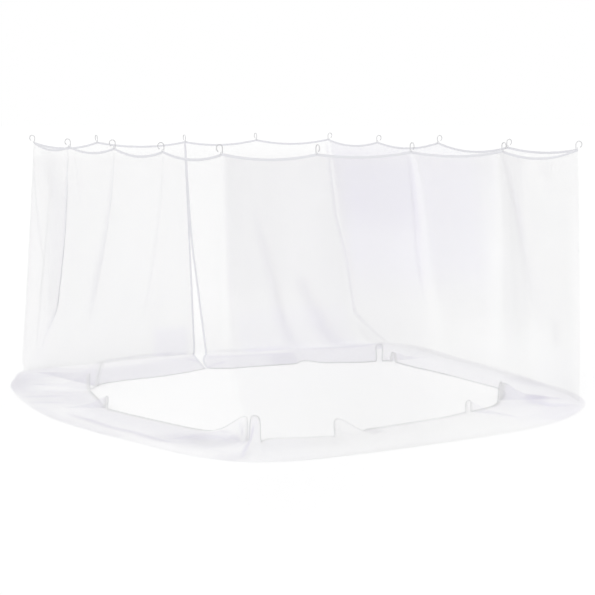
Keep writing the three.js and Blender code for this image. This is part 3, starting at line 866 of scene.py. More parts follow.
def mesh_weave() -> bpy.types.ShaderNodeTree:
    """The net's fine mesh: staggered holes between threads, narrower where the net bunches up.

    The holes are one cell wide and ROW_HEIGHT cells high, and the threads are as thick as they
    have to be to hide the wanted share of the cloth.

    Returns:
        The group.
    """
    tree, given, result = node_group(
        "mesh_weave",
        {"Cloth": None, "Cell": 0.0016, "Cover": 0.1, "Bunching": 0.0},
        {"Thread": "NodeSocketFloat", "Height": "NodeSocketFloat"},
    )
    scaled = tree.nodes.new("ShaderNodeVectorMath")
    scaled.operation = "DIVIDE"
    cell = tree.nodes.new("ShaderNodeCombineXYZ")
    for slot in range(3):
        tree.links.new(given.outputs["Cell"], cell.inputs[slot])
    tree.links.new(given.outputs["Cloth"], scaled.inputs[0])
    tree.links.new(cell.outputs[0], scaled.inputs[1])
    hidden = maths(
        tree, "MULTIPLY", maths(tree, "SUBTRACT", 1.0, given.outputs["Cover"]),
        maths(tree, "SUBTRACT", 1.0, given.outputs["Bunching"]),
    )
    hidden = maths(tree, "SUBTRACT", 1.0, hidden, clamp=True)
    girth = 1 + ROW_HEIGHT
    rest = maths(tree, "SUBTRACT", girth**2, maths(tree, "MULTIPLY", 4 * ROW_HEIGHT, hidden))
    root = maths(tree, "SQRT", rest)
    thick = maths(tree, "SUBTRACT", girth / 4, maths(tree, "MULTIPLY", 0.25, root))
    for title, softness in (("Thread", 0.0), ("Height", 1.0)):
        holes = tree.nodes.new("ShaderNodeTexBrick")
        holes.offset = 0.5
        holes.squash = 1.0
        holes.inputs["Scale"].default_value = 1.0
        holes.inputs["Brick Width"].default_value = 1.0
        holes.inputs["Row Height"].default_value = ROW_HEIGHT
        holes.inputs["Mortar Smooth"].default_value = softness
        tree.links.new(scaled.outputs[0], holes.inputs["Vector"])
        tree.links.new(thick, holes.inputs["Mortar Size"])
        tree.links.new(holes.outputs["Fac"], result.inputs[title])
    return tree


def tape_weave() -> bpy.types.ShaderNodeTree:
    """A narrow woven tape: ribs across it, and a line of stitches along each edge.

    Returns:
        The group.
    """
    tree, given, result = node_group(
        "tape_weave",
        {"Cloth": None, "Rib": 0.0011, "Width": 0.018, "Inset": 0.0025, "Stitch": 0.0034},
        {"Stitches": "NodeSocketFloat", "Height": "NodeSocketFloat"},
    )
    parts = tree.nodes.new("ShaderNodeSeparateXYZ")
    tree.links.new(given.outputs["Cloth"], parts.inputs[0])
    along, across = parts.outputs[0], parts.outputs[1]
    turns = maths(tree, "DIVIDE", along, given.outputs["Rib"])
    rib = maths(tree, "SINE", maths(tree, "MULTIPLY", turns, 2 * math.pi))
    rows = maths(tree, "DIVIDE", across, given.outputs["Rib"])
    row = maths(tree, "SINE", maths(tree, "MULTIPLY", rows, 2 * math.pi))
    woven = maths(tree, "MULTIPLY", rib, row)
    middle = maths(tree, "MULTIPLY", given.outputs["Width"], 0.5)
    off = maths(tree, "ABSOLUTE", maths(tree, "SUBTRACT", across, middle))
    seam = maths(tree, "SUBTRACT", middle, given.outputs["Inset"])
    beside = maths(tree, "ABSOLUTE", maths(tree, "SUBTRACT", off, seam))
    near = maths(tree, "LESS_THAN", beside, STITCH_HALF)
    length = maths(tree, "FRACT", maths(tree, "DIVIDE", along, given.outputs["Stitch"]))
    dash = maths(tree, "LESS_THAN", length, STITCH_SHARE)
    stitches = maths(tree, "MULTIPLY", near, dash)
    tree.links.new(stitches, result.inputs["Stitches"])
    height = maths(tree, "ADD", maths(tree, "MULTIPLY", woven, WEAVE_RELIEF), stitches)
    tree.links.new(height, result.inputs["Height"])
    return tree


def mottle() -> bpy.types.ShaderNodeTree:
    """Slow uneven shade over a surface, as a mask round one half.

    Returns:
        The group.
    """
    tree, given, result = node_group(
        "mottle", {"Place": None, "Size": 0.3, "Detail": 3.0}, {"Mask": "NodeSocketFloat"}
    )
    noise = tree.nodes.new("ShaderNodeTexNoise")
    noise.noise_dimensions = "3D"
    tree.links.new(given.outputs["Place"], noise.inputs["Vector"])
    scale = maths(tree, "DIVIDE", 1.0, given.outputs["Size"])
    tree.links.new(scale, noise.inputs["Scale"])
    tree.links.new(given.outputs["Detail"], noise.inputs["Detail"])
    tree.links.new(noise.outputs["Fac"], result.inputs["Mask"])
    return tree


class Shading:
    """A material under construction, with a Principled shader and the parts it reads."""

    def __init__(self, name: str) -> None:
        """Starts the material.

        Args:
            name: The material's name.
        """
        self.material = bpy.data.materials.new(name)
        self.material.use_nodes = True
        self.tree = self.material.node_tree
        self.shader = self.tree.nodes["Principled BSDF"]
        self.place = self.tree.nodes.new("ShaderNodeTexCoord").outputs["Object"]

    def cloth(self) -> bpy.types.NodeSocket:
        """Reads the cloth's own coordinates.

        Returns:
            Their socket.
        """
        node = self.tree.nodes.new("ShaderNodeUVMap")
        node.uv_map = "Cloth"
        return node.outputs[0]

    def number(self, name: str) -> bpy.types.NodeSocket:
        """Reads a point attribute.

        Args:
            name: The attribute's name.

        Returns:
            Its socket.
        """
        node = self.tree.nodes.new("ShaderNodeAttribute")
        node.attribute_name = name
        return node.outputs["Fac"]

    def group(
        self, tree: bpy.types.ShaderNodeTree, **values: float | bpy.types.NodeSocket
    ) -> bpy.types.NodeOutputs:
        """Places a shader group.

        Args:
            tree: The group.
            values: Its inputs by name, each a number or a socket.

        Returns:
            The group node's outputs.
        """
        node = self.tree.nodes.new("ShaderNodeGroup")
        node.node_tree = tree
        for title, value in values.items():
            if isinstance(value, (int, float)):
                node.inputs[title].default_value = value
            else:
                self.tree.links.new(value, node.inputs[title])
        return node.outputs

    def blend(
        self,
        mask: bpy.types.NodeSocket,
        low: tuple | bpy.types.NodeSocket,
        high: tuple,
    ) -> bpy.types.NodeSocket:
        """Blends two colours by a mask.

        Args:
            mask: Socket of the mask.
            low: Colour where the mask is 0, or its socket.
            high: Colour where the mask is 1.

        Returns:
            Socket of the blended colour.
        """
        node = self.tree.nodes.new("ShaderNodeMix")
        node.data_type = "RGBA"
        if isinstance(low, tuple):
            node.inputs["A"].default_value = (*low, 1)
        else:
            self.tree.links.new(low, node.inputs["A"])
        node.inputs["B"].default_value = (*high, 1)
        self.tree.links.new(mask, node.inputs["Factor"])
        return node.outputs["Result"]

    def relief(self, height: bpy.types.NodeSocket, depth: float) -> None:
        """Adds a bump.

        Args:
            height: Socket of the relief's height, from 0 to 1.
            depth: Its depth in metres.
        """
        node = self.tree.nodes.new("ShaderNodeBump")
        node.inputs["Distance"].default_value = depth
        node.inputs["Strength"].default_value = 1.0
        self.tree.links.new(height, node.inputs["Height"])
        self.tree.links.new(node.outputs[0], self.shader.inputs["Normal"])

    def set(self, title: str, value: float | tuple | bpy.types.NodeSocket) -> None:
        """Sets or links one input of the Principled shader.

        Args:
            title: The input's name.
            value: A number, a colour, or the socket that it comes from.
        """
        if isinstance(value, (int, float, tuple)):
            self.shader.inputs[title].default_value = value
        else:
            self.tree.links.new(value, self.shader.inputs[title])


@dataclass(frozen=True)
class NetFinish:
    """White sheer polyester mesh; painted shade greys it where it bunches and tints areas violet.
    """

    colour: tuple = (0.850, 0.848, 0.853)
    # painted shade of the folds, where the mesh bunches up
    crowded: tuple = (0.775, 0.757, 0.824)
    # painted shade with a violet tint, over the areas that the net marks
    lilac_shade: tuple = (0.810, 0.785, 0.905)
    hem: tuple = (0.800, 0.797, 0.805)
    roughness: float = 0.8
    specular: float = 0.2
    cell: float = 0.0016
    cover: float = 0.10
    thread_relief: float = 0.0001

    def material(self) -> bpy.types.Material:
        """Builds the material.

        Returns:
            The net's material.
        """
        made = Shading("net_mesh")
        bunching = made.number("bunching")
        weave = made.group(
            mesh_weave(), Cloth=made.cloth(), Cell=self.cell, Cover=self.cover, Bunching=bunching
        )
        # Painted shade: greyer where the mesh bunches up, then a violet-tinted painted shade over
        # marked areas.
        bunch_shaded = made.blend(bunching, self.colour, self.crowded)
        walls = made.blend(made.number("lilac_shade"), bunch_shaded, self.lilac_shade)
        made.set("Base Color", made.blend(made.number("hem"), walls, self.hem))
        made.set("Roughness", self.roughness)
        made.set("Alpha", weave["Thread"])
        made.set("Specular IOR Level", self.specular)
        made.relief(weave["Height"], self.thread_relief)
        return made.material


@dataclass(frozen=True)
class TapeFinish:
    """White woven tape with its stitches."""

    width: float
    colour: tuple = (0.87, 0.87, 0.90)
    worn: tuple = (0.83, 0.83, 0.865)
    roughness: float = 0.75
    specular: float = 0.25
    wear_size: float = 0.02
    weave_relief: float = 0.0002

    def material(self, name: str) -> bpy.types.Material:
        """Builds the material.

        Args:
            name: The material's name.

        Returns:
            The tape's material.
        """
        made = Shading(name)
        groups = bpy.data.node_groups
        weave = made.group(groups["tape_weave"], Cloth=made.cloth(), Width=self.width)
        mask = made.group(groups["mottle"], Place=made.place, Size=self.wear_size)["Mask"]
        made.set("Base Color", made.blend(mask, self.colour, self.worn))
        made.set("Roughness", self.roughness)
        made.set("Specular IOR Level", self.specular)
        made.relief(weave["Height"], self.weave_relief)
        return made.material


@dataclass(frozen=True)
class PlasticFinish:
    """White moulded plastic with a soft gloss."""

    colour: tuple = (0.69, 0.69, 0.70)
    thin: tuple = (0.64, 0.64, 0.655)
    roughness: float = 0.42
    shade_size: float = 0.01
    grain_size: float = 0.0012
    grain_relief: float = 0.00004

    def material(self) -> bpy.types.Material:
        """Builds the material.

        Returns:
            The hooks' material.
        """
        made = Shading("hook_plastic")
        mottled = bpy.data.node_groups["mottle"]
        mask = made.group(mottled, Place=made.place, Size=self.shade_size)["Mask"]
        made.set("Base Color", made.blend(mask, self.colour, self.thin))
        made.set("Roughness", self.roughness)
        grain = made.group(mottled, Place=made.place, Size=self.grain_size)["Mask"]
        made.relief(grain, self.grain_relief)
        return made.material


# ---- The net ----


@dataclass
class Net:
    """The one length of mesh: four hanging walls and the flap turned in on the floor."""

    tape: float = TOP_TAPE_WIDTH
    steps: int = 8  # fine columns for each coarse one
    row_steps: list[int] = field(
        default_factory=lambda: [8, 8, 8, 8, 7, 6, 5, 4, 4, 5, 3, 3, 4, 6, 7, 6, 6]
    )
    cut_length: float = 14.0  # of the cloth, round the four walls
    hem_band: float = 0.022  # width of the crowded band along the hem
    hem_full: float = 0.75  # share of that band over which it keeps its full crowding
    hem_fade: float = 0.5  # share of its width over which the crowding then runs out
    band_rise: float = 0.6  # below 1, the band changes early as the hem rises to a pucker
    hem_roll: float = 0.005  # radius of the roll
    hem_turns: tuple = (30, 75, 120, 165, 210, 255, 300)
    span: float = 2 * (WIDTH + DEPTH) / SPANS  # metres in one station
    flap: float = 0.55  # metres across the flap, about
    finish: NetFinish = NetFinish()

    def hem_end(self, column: int) -> tuple[np.ndarray, float]:
        """The hem's end of a column, on the floor or up on a pucker.

        Args:
            column: Column of the coarse grid.

        Returns:
            Its place on the floor and its rise.
        """
        for pucker in PUCKERS:
            place = column - pucker.first_column
            if not 0 <= place <= 3:
                continue
            looks = pucker.station + np.array((0, -PUCKER_LOOK, PUCKER_LOOK))
            base, before, after = floor_line(HEM, looks)
            along = (after - before) / np.linalg.norm(after - before)
            across = (-pucker.before, -pucker.crest, pucker.crest, pucker.after)[place]
            base = base + along * across
            if place in (0, 3):
                return base, 0.0
            return base + np.array((-along[1], along[0], 0)) * pucker.inward, pucker.height
        return floor_line(HEM, np.array([column / COLUMNS_PER_SPAN]))[0], 0.0

    def column(self, column: int) -> np.ndarray:
        """Lays out one column of the coarse grid, from the tape down to the hem.

        Args:
            column: Number of the column.

        Returns:
            Its points [rows, 3].
        """
        station = column / COLUMNS_PER_SPAN
        top, out = tape_top(station), outward_at(station)
        door = 1 if column == 0 else -1 if column == COLUMNS else 0
        top[0] -= door * (DOOR_TAPE_WIDTH + SEAM - DOOR_OVERLAP / 2)
        layer = door * DOOR_LAYER
        edge = under_tape(top[0]) if door else top[2] - self.tape - SEAM
        foot = floor_line(FOOT, np.array([station]))[0]
        points = [np.array((*(top + out * layer)[:2], edge))]
        near_door = max(1 - 2 * min(station, SPANS - station), 0)
        held = DOOR_HELD if station > SPANS / 2 else 0.0
        for row in WALL_ROWS:
            depth = layer + fold_depth(station, row.height) * (1 - row.lean**4)
            drop = 1 - row.height / edge
            parted = max(drop - DOOR_PARTING, 0) / (1 - DOOR_PARTING)
            slide = row.lean + (drop - held * (drop - parted) - row.lean) * near_door
            point = top + (foot - top) * row.lean
            point[0] = top[0] + (foot[0] - top[0]) * slide
            point += out * depth
            points.append(np.array((point[0], point[1], row.height)))
        base, rise = self.hem_end(column)
        start = foot + (base - foot) / np.linalg.norm(base - foot) * FLAP_TURN
        low, high = PUCKER_SLOPE
        for row in FLAP_ROWS:
            slope = float(eased((row.share - low) / (high - low)))
            lift = rise * ((1 - PUCKER_DROP) * row.share + PUCKER_DROP * slope)
            point = start + (base - start) * row.share
            if column == COLUMNS:
                point[0] -= DOOR_CLOSING * (1 - row.share - (1 - row.share) ** 3)
            points.append(np.array((point[0], point[1], row.height + lift)))
        return np.array(points)

    def coarse(self) -> np.ndarray:
        """The coarse grid [columns, rows, 3]."""
        return np.array([self.column(c) for c in range(COLUMNS + 1)])

    def fine(self) -> np.ndarray:
        """The fine grid, rounded through the coarse one."""
        rows = np.swapaxes(refine(self.coarse(), [self.steps] * COLUMNS), 0, 1)
        return np.swapaxes(refine(rows, self.row_steps), 0, 1)

    def build(self) -> bpy.types.Object:
        """Builds and dresses the net.

        Returns:
            The net.
        """
        grid = self.fine()
        columns, rows = grid.shape[:2]
        stations = np.linspace(0, SPANS, columns)
        wall_rows = sum(self.row_steps[: len(WALL_ROWS)])
        grid, bunching = self.crease(grid, stations, wall_rows)
        grid[..., 2] = np.maximum(grid[..., 2], FLOOR_CLEARANCE)
        band = self.hem_bands(stations, grid[:, -1, 2])[:, None]
        grid = self.roll_hem(grid)
        grid[..., 2] = np.maximum(grid[..., 2], FLOOR_CLEARANCE)
        down = np.linalg.norm(np.diff(grid, axis=1), axis=2).cumsum(axis=1)
        down = np.concatenate([np.zeros((columns, 1)), down], axis=1)
        along = np.broadcast_to(stations[:, None] * self.cut_length / SPANS, down.shape)
        to_hem = down[:, rows - 1 : rows] - down
        hem = 1 - eased((to_hem - band * self.hem_full) / (band * self.hem_fade))
        crowding = np.interp(stations, *zip(*HEM_CROWDING))[:, None]
        bunching = np.pad(bunching, ((0, 0), (0, len(self.hem_turns))), mode="edge")
        bunching = 1 - (1 - bunching) * (1 - crowding * hem)
        metres = np.stack([along, down], axis=2)
        # violet-tinted painted shade, kept off the hem
        lilac_shade = self.lilac_shade(grid, stations, wall_rows) * (1 - hem)
        marks = {"bunching": bunching, "lilac_shade": lilac_shade, "hem": hem}
        piece = grid_sheet("net_cloth", grid, metres, marks)
        piece.data.materials.append(self.finish.material())
        smooth(piece, SMOOTH_ALL)
        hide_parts("net")
        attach(piece, "root")
        return piece

    def lilac_shade(self, grid: np.ndarray, stations: np.ndarray, wall_rows: int) -> np.ndarray:
        """Works out the violet-tinted painted shade at each point.

        Args:
            grid: The fine grid, with the rolled hem.
            stations: Station of each column.
            wall_rows: Row of the foot.

        Returns:
            Shares from 0 to 1, by column and row.
        """
        height = grid[..., 2]
        station = np.broadcast_to(stations[:, None], height.shape)
        wall = np.broadcast_to(np.arange(height.shape[1])[None, :] <= wall_rows, height.shape)
        _, clear = self.lay([], LILAC_SHADE_PATCHES, station, height, 1.0, wall, np.ones(height.shape))
        flap = np.interp(station, *zip(*FLAP_LILAC_SHADE))
        return np.where(wall, 1 - clear, flap)

    def hem_bands(self, stations: np.ndarray, rise: np.ndarray) -> np.ndarray:
        """Works out the width of the crowded band along the hem, which a pucker changes.

        Args:
            stations: Station of each column.
            rise: Height of the hem in each column.

        Returns:
            The width in each column.
        """
        width = np.full(stations.shape, self.hem_band)
        for pucker in PUCKERS:
            away = np.abs(stations * COLUMNS_PER_SPAN - pucker.first_column - PUCKER_MIDDLE)
            share = np.clip(rise / pucker.height, 0, 1) * (away < 2)
            width += (pucker.band - self.hem_band) * share**self.band_rise
        return width

    def roll_hem(self, grid: np.ndarray) -> np.ndarray:
        """Adds the rows of the narrow hem, rolled up and back over the flap.

        Args:
            grid: The fine grid.

        Returns:
            The grid with one row more for each of hem_turns.
        """
        end = grid[:, -1]
        ahead = end - grid[:, -3]
        ahead /= np.linalg.norm(ahead, axis=1, keepdims=True)
        aside = np.gradient(end, axis=0)
        upward = np.cross(aside, ahead)
        upward /= np.linalg.norm(upward, axis=1, keepdims=True)
        rows = [
            end + (ahead * math.sin(turn) + upward * (1 - math.cos(turn))) * self.hem_roll
            for turn in map(math.radians, self.hem_turns)
        ]
        return np.concatenate([grid, np.stack(rows, axis=1)], axis=1)

    def crease(
        self, grid: np.ndarray, stations: np.ndarray, wall_rows: int
    ) -> tuple[np.ndarray, np.ndarray]:
        """Adds the narrow creases and works out where the mesh bunches up.

        Args:
            grid: The fine grid.
            stations: Station of each column.
            wall_rows: Row of the foot.

        Returns:
            The creased grid, and the bunching at each point.
        """
        grid = grid.copy()
        rows = grid.shape[1]
        height = grid[..., 2].copy()
        station = np.broadcast_to(stations[:, None], height.shape)
        share = np.clip((np.arange(rows) - wall_rows) / (rows - 1 - wall_rows), 0, 1)
        share = np.broadcast_to(share[None, :], height.shape)
        wall = np.broadcast_to(np.arange(rows)[None, :] <= wall_rows, height.shape)
        marks = [tone.station for tone in TONES]
        on_wall = np.interp(station, marks, [tone.wall for tone in TONES])
        outer = np.interp(station, marks, [tone.outer for tone in TONES])
        inner = np.interp(station, marks, [tone.inner for tone in TONES])
        on_flap = outer + (inner - outer) * eased((share - FLAP_MIDDLE) / FLAP_BLEND)
        clear = 1 - np.where(wall, on_wall, on_flap)
        push, clear = self.lay(WALL_CREASES, WALL_PATCHES, station, height, 1.0, wall, clear)
        lift, clear = self.lay(FLAP_CREASES, FLAP_PATCHES, station, share, self.flap, ~wall, clear)
        push *= eased(height / FOOT_FADE) * eased((HANG - height) / TOP_FADE)
        out = np.array([outward_at(s) for s in stations])[:, None, :]
        grid += out * push[..., None]
        grid[..., 2] += lift * eased(share / FLAP_FADE)
        return grid, np.clip(1 - clear, 0, MOST_BUNCHED)

    def lay(
        self,
        creases: list[Crease],
        patches: list[Patch],
        station: np.ndarray,
        row: np.ndarray,
        unit: float,
        where: np.ndarray,
        clear: np.ndarray,
    ) -> tuple[np.ndarray, np.ndarray]:
        """Lays creases and patches over the part of the net where they belong.

        Args:
            creases: The creases.
            patches: The patches.
            station: Station of each point.
            row: Height or flap share of each point.
            unit: Metres in one of row.
            where: Mask of the part's points.
            clear: How uncrowded the mesh is so far.

        Returns:
            How far the cloth is moved at each point, and the new clear.
        """
        moved = np.zeros_like(station)
        place = np.stack([station * self.span, row * unit], axis=2)
        for crease in creases:
            path = np.array([(s * self.span, r * unit) for s, r in crease.path])
            legs = np.linalg.norm(np.diff(path, axis=0), axis=1)
            marks = np.concatenate([[0], legs.cumsum()]) / legs.sum()
            nearest = np.full(station.shape, np.inf)
            along = np.zeros_like(nearest)
            for k, leg in enumerate(np.diff(path, axis=0)):
                t = np.clip((place - path[k]) @ leg / float(leg @ leg), 0, 1)
                away = np.linalg.norm(place - path[k] - t[..., None] * leg, axis=2)
                closer = away < nearest
                nearest = np.where(closer, away, nearest)
                along = np.where(closer, marks[k] + t * (marks[k + 1] - marks[k]), along)
            width = crease.width[0] + (crease.width[1] - crease.width[0]) * along
            strength = np.interp(along, CREASE_RAMP, (crease.ends[0], 1, 1, crease.ends[1]))
            shape = np.exp(-((nearest / width) ** 2)) * strength * where
            moved += crease.depth * shape
            clear = clear * (1 - crease.bunching * shape)
        for patch in patches:
            shape = where * 1.0
            sides = zip((station, row), (patch.stations, patch.rows), patch.soft)
            for value, (low, high), soft in sides:
                inside = eased((value - low) / soft + 0.5) * eased((high - value) / soft + 0.5)
                shape = shape * inside
            clear = clear * (1 - patch.amount * shape)
        return moved, clear


# ---- Tapes ----

TAPE_STRIPS = 4  # strips across a tape
JOIN_DISTANCE = 1e-5  # under which a tape's two ends are merged
TAPE_BEVEL = 0.3  # of a tape's edges, as a share of its thickness
TAPE_CORNER = 60  # degrees from which on an edge is rounded
TAPE_CREASE = 50  # degrees up to which a tape is shaded smooth


@dataclass
class TopTape:
    """The tape along the net's top edge, a closed ring threaded by the hooks."""

    width: float = TOP_TAPE_WIDTH
    thickness: float = 0.0022
    steps: int = 5

    def build(self) -> bpy.types.Object:
        """Builds and dresses the top tape.

        Returns:
            The tape.
        """
        stations = np.linspace(0, SPANS, COLUMNS * self.steps + 1)
        top = np.array([tape_top(s % SPANS) for s in stations])
        shares = np.linspace(0, 1, TAPE_STRIPS + 1)
        grid = top[:, None, :] - np.array((0, 0, self.width)) * shares[None, :, None]
        along = np.linalg.norm(np.diff(top, axis=0), axis=1).cumsum()
        along = np.concatenate([[0], along])
        metres = np.stack(np.broadcast_arrays(along[:, None], shares * self.width), axis=2)
        piece = grid_sheet("tape_top", grid, metres)
        piece.data.materials.append(TapeFinish(self.width).material("edge_tape"))
        finish_tape(piece, self.thickness)
        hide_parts("top_tape")
        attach(piece, "root")
        log.info("tape_top: %.2f m long", along[-1])
        return piece


def finish_tape(piece: bpy.types.Object, thickness: float) -> None:
    """Joins a tape's ends where they meet, gives it its thickness and rounds its edges.

    Args:
        piece: The flat tape.
        thickness: Its thickness.
    """
    activate(piece)
    bpy.ops.object.mode_set(mode="EDIT")
    bpy.ops.mesh.select_all(action="SELECT")
    bpy.ops.mesh.remove_doubles(threshold=JOIN_DISTANCE)
    bpy.ops.object.mode_set(mode="OBJECT")
    wall = piece.modifiers.new("thickness", "SOLIDIFY")
    wall.thickness = thickness
    wall.offset = 0
    wall.use_even_offset = True
    edge = piece.modifiers.new("edges", "BEVEL")
    edge.width = thickness * TAPE_BEVEL
    edge.segments = 2
    edge.angle_limit = math.radians(TAPE_CORNER)
    apply_modifiers(piece)
    smooth(piece, TAPE_CREASE)


@dataclass
class DoorTape:
    """The tape along one edge of the door slit, down the wall and over the flap."""

    side: Side
    net: Net
    width: float = DOOR_TAPE_WIDTH
    thickness: float = 0.0022

    def lines(self) -> np.ndarray:
        """Lays out the tape's two long edges beside the net's edge.

        Returns:
            The lines [2, rows, 3], the one away from the net first on the left side.
        """
        edge, beside = (0, 1) if self.side is Side.LEFT else (-1, -2)
        grid = self.net.coarse()
        normals = grid_normals(grid)
        normals[edge, 0] = outward_at(0 if self.side is Side.LEFT else SPANS)
        away = grid[edge] - grid[beside]
        away -= (away * normals[edge]).sum(axis=1, keepdims=True) * normals[edge]
        away /= np.linalg.norm(away, axis=1, keepdims=True)
        lines = [grid[edge] + away * reach for reach in (SEAM, SEAM + self.width)]
        for line in lines:
            line[0, 2] = under_tape(line[0, 0])
        return np.array(lines[::-1] if self.side is Side.LEFT else lines)

    def build(self) -> bpy.types.Object:
        """Builds and dresses the door tape.

        Returns:
            The tape.
        """
        coarse = self.lines()
        fine = np.swapaxes(refine(np.swapaxes(coarse, 0, 1), self.net.row_steps), 0, 1)
        shares = np.linspace(0, 1, TAPE_STRIPS + 1)
        grid = fine[0][None] + (fine[1] - fine[0])[None] * shares[:, None, None]
        grid[..., 2] = np.maximum(grid[..., 2], self.thickness / 2)
        down = np.linalg.norm(np.diff(fine[0], axis=0), axis=1).cumsum()
        down = np.concatenate([[0], down])
        metres = np.stack(
            np.broadcast_arrays(down[None, :], (shares * self.width)[:, None]), axis=2
        )
        name = f"tape_door_{self.side.value}"
        piece = grid_sheet(name, grid, metres)
        piece.data.materials.append(TapeFinish(self.width).material(f"edge_{self.side.value}"))
        finish_tape(piece, self.thickness)
        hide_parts(f"door_tape_{self.side.value}")
        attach(piece, "root")
        log.info("%s: %.2f m long", name, down[-1])
        return piece


# ---- Hooks ----


@dataclass
class RailHook:
    """An open plastic hook: an eye through the tape, a stem, and a C that ends in a ball."""

    eye_radius: float = 0.008
    eye_wire: float = 0.0020
    eye_lift: float = 0.0005  # the wire hangs just under the upper rim of the hole
    eye_start: float = 112.0  # degrees round the eye at which its wire starts
    eye_sweep: float = 292.0
    eye_steps: int = 18
    neck: tuple = ((0.005, 0.75), (0.004, 0.9))  # rises over the eye, and shares of the wire
    stem_top: float = 0.042
    reach: float = 0.024
    bend_steps: int = 22
    wire: float = 0.0034
    tip: float = 0.0042
    tip_angle: float = -48.0
    ball_turns: tuple = (55, 90, 125, 155, 172)  # degrees over the ball of its rings
    sides: int = 12
    join_distance: float = 1e-6  # under which its points are merged
    crease: float = 60.0  # degrees up to which it is shaded smooth

    def mould(self) -> bpy.types.Object:
        """Models one hook at the origin, its hole's centre at zero and its C towards +X.

        Returns:
            The pattern for all hooks.
        """
        start, centre_z = math.radians(self.eye_start), self.eye_radius + self.eye_lift
        at = Vector((math.cos(start), 0, math.sin(start))) * self.eye_radius
        at.z += centre_z
        facing = math.atan2(math.sin(start), -math.cos(start))
        deselect()
        bpy.ops.mesh.primitive_circle_add(
            vertices=self.sides, radius=self.eye_wire, fill_type="NGON", location=at,
            rotation=(0, facing, 0),
        )
        hook = bpy.context.object
        bpy.ops.object.transform_apply(location=True, rotation=True, scale=True)
        bpy.ops.object.mode_set(mode="EDIT")
        bpy.ops.mesh.select_all(action="SELECT")
        bpy.ops.mesh.spin(
            steps=self.eye_steps, angle=math.radians(self.eye_sweep), center=(0, 0, centre_z),
            axis=(0, -1, 0),
        )
        shank = self.stem_top - centre_z - sum(rise for rise, _ in self.neck)
        before = self.eye_wire / self.wire
        for rise, share in (*self.neck, (shank, 1.0)):
            bpy.ops.mesh.extrude_region_move(TRANSFORM_OT_translate={"value": (0, 0, rise)})
            bpy.ops.transform.resize(value=(share / before, share / before, 1))
            before = share
        bpy.ops.mesh.spin(
            steps=self.bend_steps, angle=math.radians(180 - self.tip_angle),
            center=(self.reach - self.eye_radius, 0, self.stem_top), axis=(0, -1, 0),
        )
        self.end_ball(math.radians(self.tip_angle))
        bpy.ops.mesh.select_all(action="SELECT")
        bpy.ops.mesh.remove_doubles(threshold=self.join_distance)
        bpy.ops.mesh.normals_make_consistent(inside=False)
        bpy.ops.object.mode_set(mode="OBJECT")
        return hook

    def end_ball(self, angle: float) -> None:
        """Closes the C's end in a small ball, by extruding and scaling the end ring.

        Args:
            angle: Direction round the C at which it ends, in radians.
        """
        heading = Vector((math.sin(angle), 0, -math.cos(angle)))
        before, width = 0.0, self.wire / self.tip
        for turn in map(math.radians, self.ball_turns):
            along, radius = self.tip * (1 - math.cos(turn)), math.sin(turn)
            step = heading * (along - before)
            bpy.ops.mesh.extrude_region_move(TRANSFORM_OT_translate={"value": step})
            grow = radius / width
            bpy.ops.transform.resize(value=(grow, grow, grow))
            before, width = along, radius

    def hang(
        self, pattern: bpy.types.Object, i: int, finish: bpy.types.Material
    ) -> bpy.types.Object:
        """Copies the pattern to a hook's hole, turned to its direction.

        Args:
            pattern: The moulded hook.
            i: Number of the hook.
            finish: Its material.

        Returns:
            The hung hook.
        """
        piece = pattern.copy()
        piece.data = pattern.data.copy()
        piece.name = piece.data.name = f"rail_hook_{i:02d}"
        bpy.context.scene.collection.objects.link(piece)
        place = Matrix.Translation(Vector(hole_at(i) + ORIGIN))
        piece.data.transform(place @ Matrix.Rotation(math.radians(HOOKS[i].turn), 4, "Z"))
        piece.data.materials.append(finish)
        smooth(piece, self.crease)
        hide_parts(f"hook_{i:02d}")
        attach(piece, "root")
        log.info("%s: hung at %.2f, %.2f", piece.name, *place.translation[:2])
        return piece

    def build(self) -> list[bpy.types.Object]:
        """Builds and dresses all the hooks.

        Returns:
            The hooks, in the order of their places.
        """
        pattern = self.mould()
        finish = PlasticFinish().material()
        hooks = [self.hang(pattern, i, finish) for i in range(SPANS)]
        bpy.data.objects.remove(pattern, do_unlink=True)
        return hooks


# ---- Studio ----


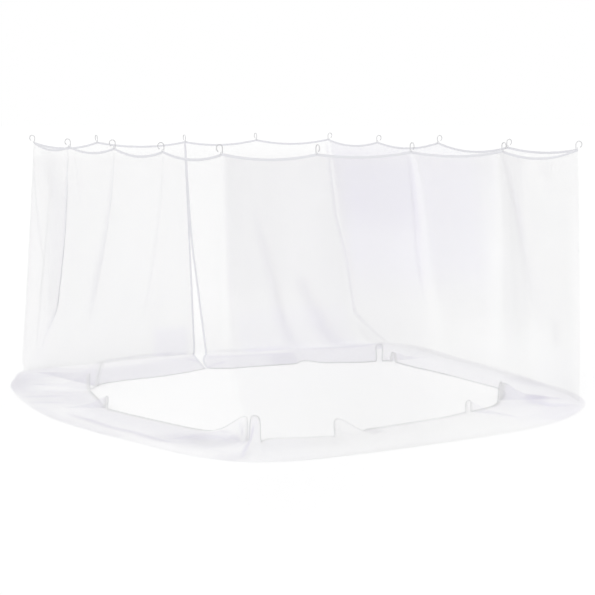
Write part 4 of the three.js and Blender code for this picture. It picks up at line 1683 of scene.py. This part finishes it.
@dataclass
class Studio:
    """Pale floor, white surroundings, soft lamps and the camera."""

    floor_size: float = 400.0
    floor_drop: float = 0.001  # under the net, so that the two never meet
    floor_colour: float = 0.80
    floor_glow: float = 0.225
    ambient: float = 0.62
    lamps: tuple = (("key", 228, 40, 1.2), ("fill", 50, 42, 0.6))
    lamp_distance: float = 12.0
    softness: float = 50.0  # degrees that each lamp seems wide
    lens: float = 81.5
    sensor: float = 36.0
    clip: tuple = (0.1, 200)
    eye: tuple = (-5.544, -9.707, 2.342)
    pitch: float = 82.09  # degrees up from straight down
    heading: float = -30.21  # degrees from +Y
    clear_bounces: int = 48  # layers of mesh that a line of sight may cross

    def floor(self) -> bpy.types.Object:
        """Lays the floor.

        Returns:
            The floor.
        """
        deselect()
        place = (0, 0, -self.floor_drop)
        bpy.ops.mesh.primitive_plane_add(size=self.floor_size, location=place)
        piece = bpy.context.object
        piece.name = "studio_floor"
        material = bpy.data.materials.new("studio_floor")
        material.use_nodes = True
        tree = material.node_tree
        tree.nodes.clear()
        level = self.floor_colour
        matt = tree.nodes.new("ShaderNodeBsdfDiffuse")
        matt.inputs["Color"].default_value = (level, level, level, 1)
        glow = tree.nodes.new("ShaderNodeEmission")
        both = tree.nodes.new("ShaderNodeAddShader")
        out = tree.nodes.new("ShaderNodeOutputMaterial")
        seen = maths(tree, "MULTIPLY", seen_directly(tree), self.floor_glow)
        tree.links.new(seen, glow.inputs["Strength"])
        tree.links.new(matt.outputs[0], both.inputs[0])
        tree.links.new(glow.outputs[0], both.inputs[1])
        tree.links.new(both.outputs[0], out.inputs["Surface"])
        piece.data.materials.append(material)
        return piece

    def surroundings(self) -> None:
        """Fills the world with even light, white to the camera."""
        world = bpy.data.worlds.new("studio")
        bpy.context.scene.world = world
        world.use_nodes = True
        tree = world.node_tree
        sky = tree.nodes["Background"]
        sky.inputs["Color"].default_value = (1, 1, 1, 1)
        extra = maths(tree, "MULTIPLY", seen_directly(tree), 1.0 - self.ambient)
        strength = maths(tree, "ADD", extra, self.ambient)
        tree.links.new(strength, sky.inputs["Strength"])

    def sun(self, name: str, azimuth: float, height: float, strength: float) -> None:
        """Adds a very soft lamp, far away.

        Args:
            name: The lamp's name.
            azimuth: Direction that it stands in, in degrees from +X.
            height: Its height over the horizon, in degrees.
            strength: Its strength in watts per square metre.
        """
        data = bpy.data.lights.new(name, "SUN")
        data.energy = strength
        data.angle = math.radians(self.softness)
        lamp = bpy.data.objects.new(name, data)
        a, e = math.radians(azimuth), math.radians(height)
        there = Vector((math.cos(a) * math.cos(e), math.sin(a) * math.cos(e), math.sin(e)))
        lamp.location = there * self.lamp_distance
        lamp.rotation_euler = (-there).to_track_quat("-Z", "Y").to_euler()
        bpy.context.scene.collection.objects.link(lamp)

    def camera(self) -> None:
        """Places the camera and makes it the scene's."""
        data = bpy.data.cameras.new("camera")
        data.lens = self.lens
        data.sensor_width = self.sensor
        data.clip_start, data.clip_end = self.clip
        camera = bpy.data.objects.new("camera", data)
        camera.location = Vector(self.eye) + Vector(ORIGIN)
        camera.rotation_euler = (math.radians(self.pitch), 0, math.radians(self.heading))
        bpy.context.scene.collection.objects.link(camera)
        bpy.context.scene.camera = camera

    def build(self) -> None:
        """Sets up the studio."""
        self.floor()
        self.surroundings()
        for lamp in self.lamps:
            self.sun(*lamp)
        self.camera()
        bpy.context.scene.view_settings.view_transform = "Standard"
        bpy.context.scene.cycles.transparent_max_bounces = self.clear_bounces
        log.info("studio ready")


def main() -> None:
    """Builds the net, its tapes and hooks, then the studio."""
    tape_weave()
    mottle()
    RailHook().build()
    TopTape().build()
    net = Net()
    net.build()
    for side in Side:
        DoorTape(side, net).build()
    Studio().build()


if __name__ == "__main__":
    logging.basicConfig(level=logging.INFO, format="%(name)s: %(message)s")
    main()
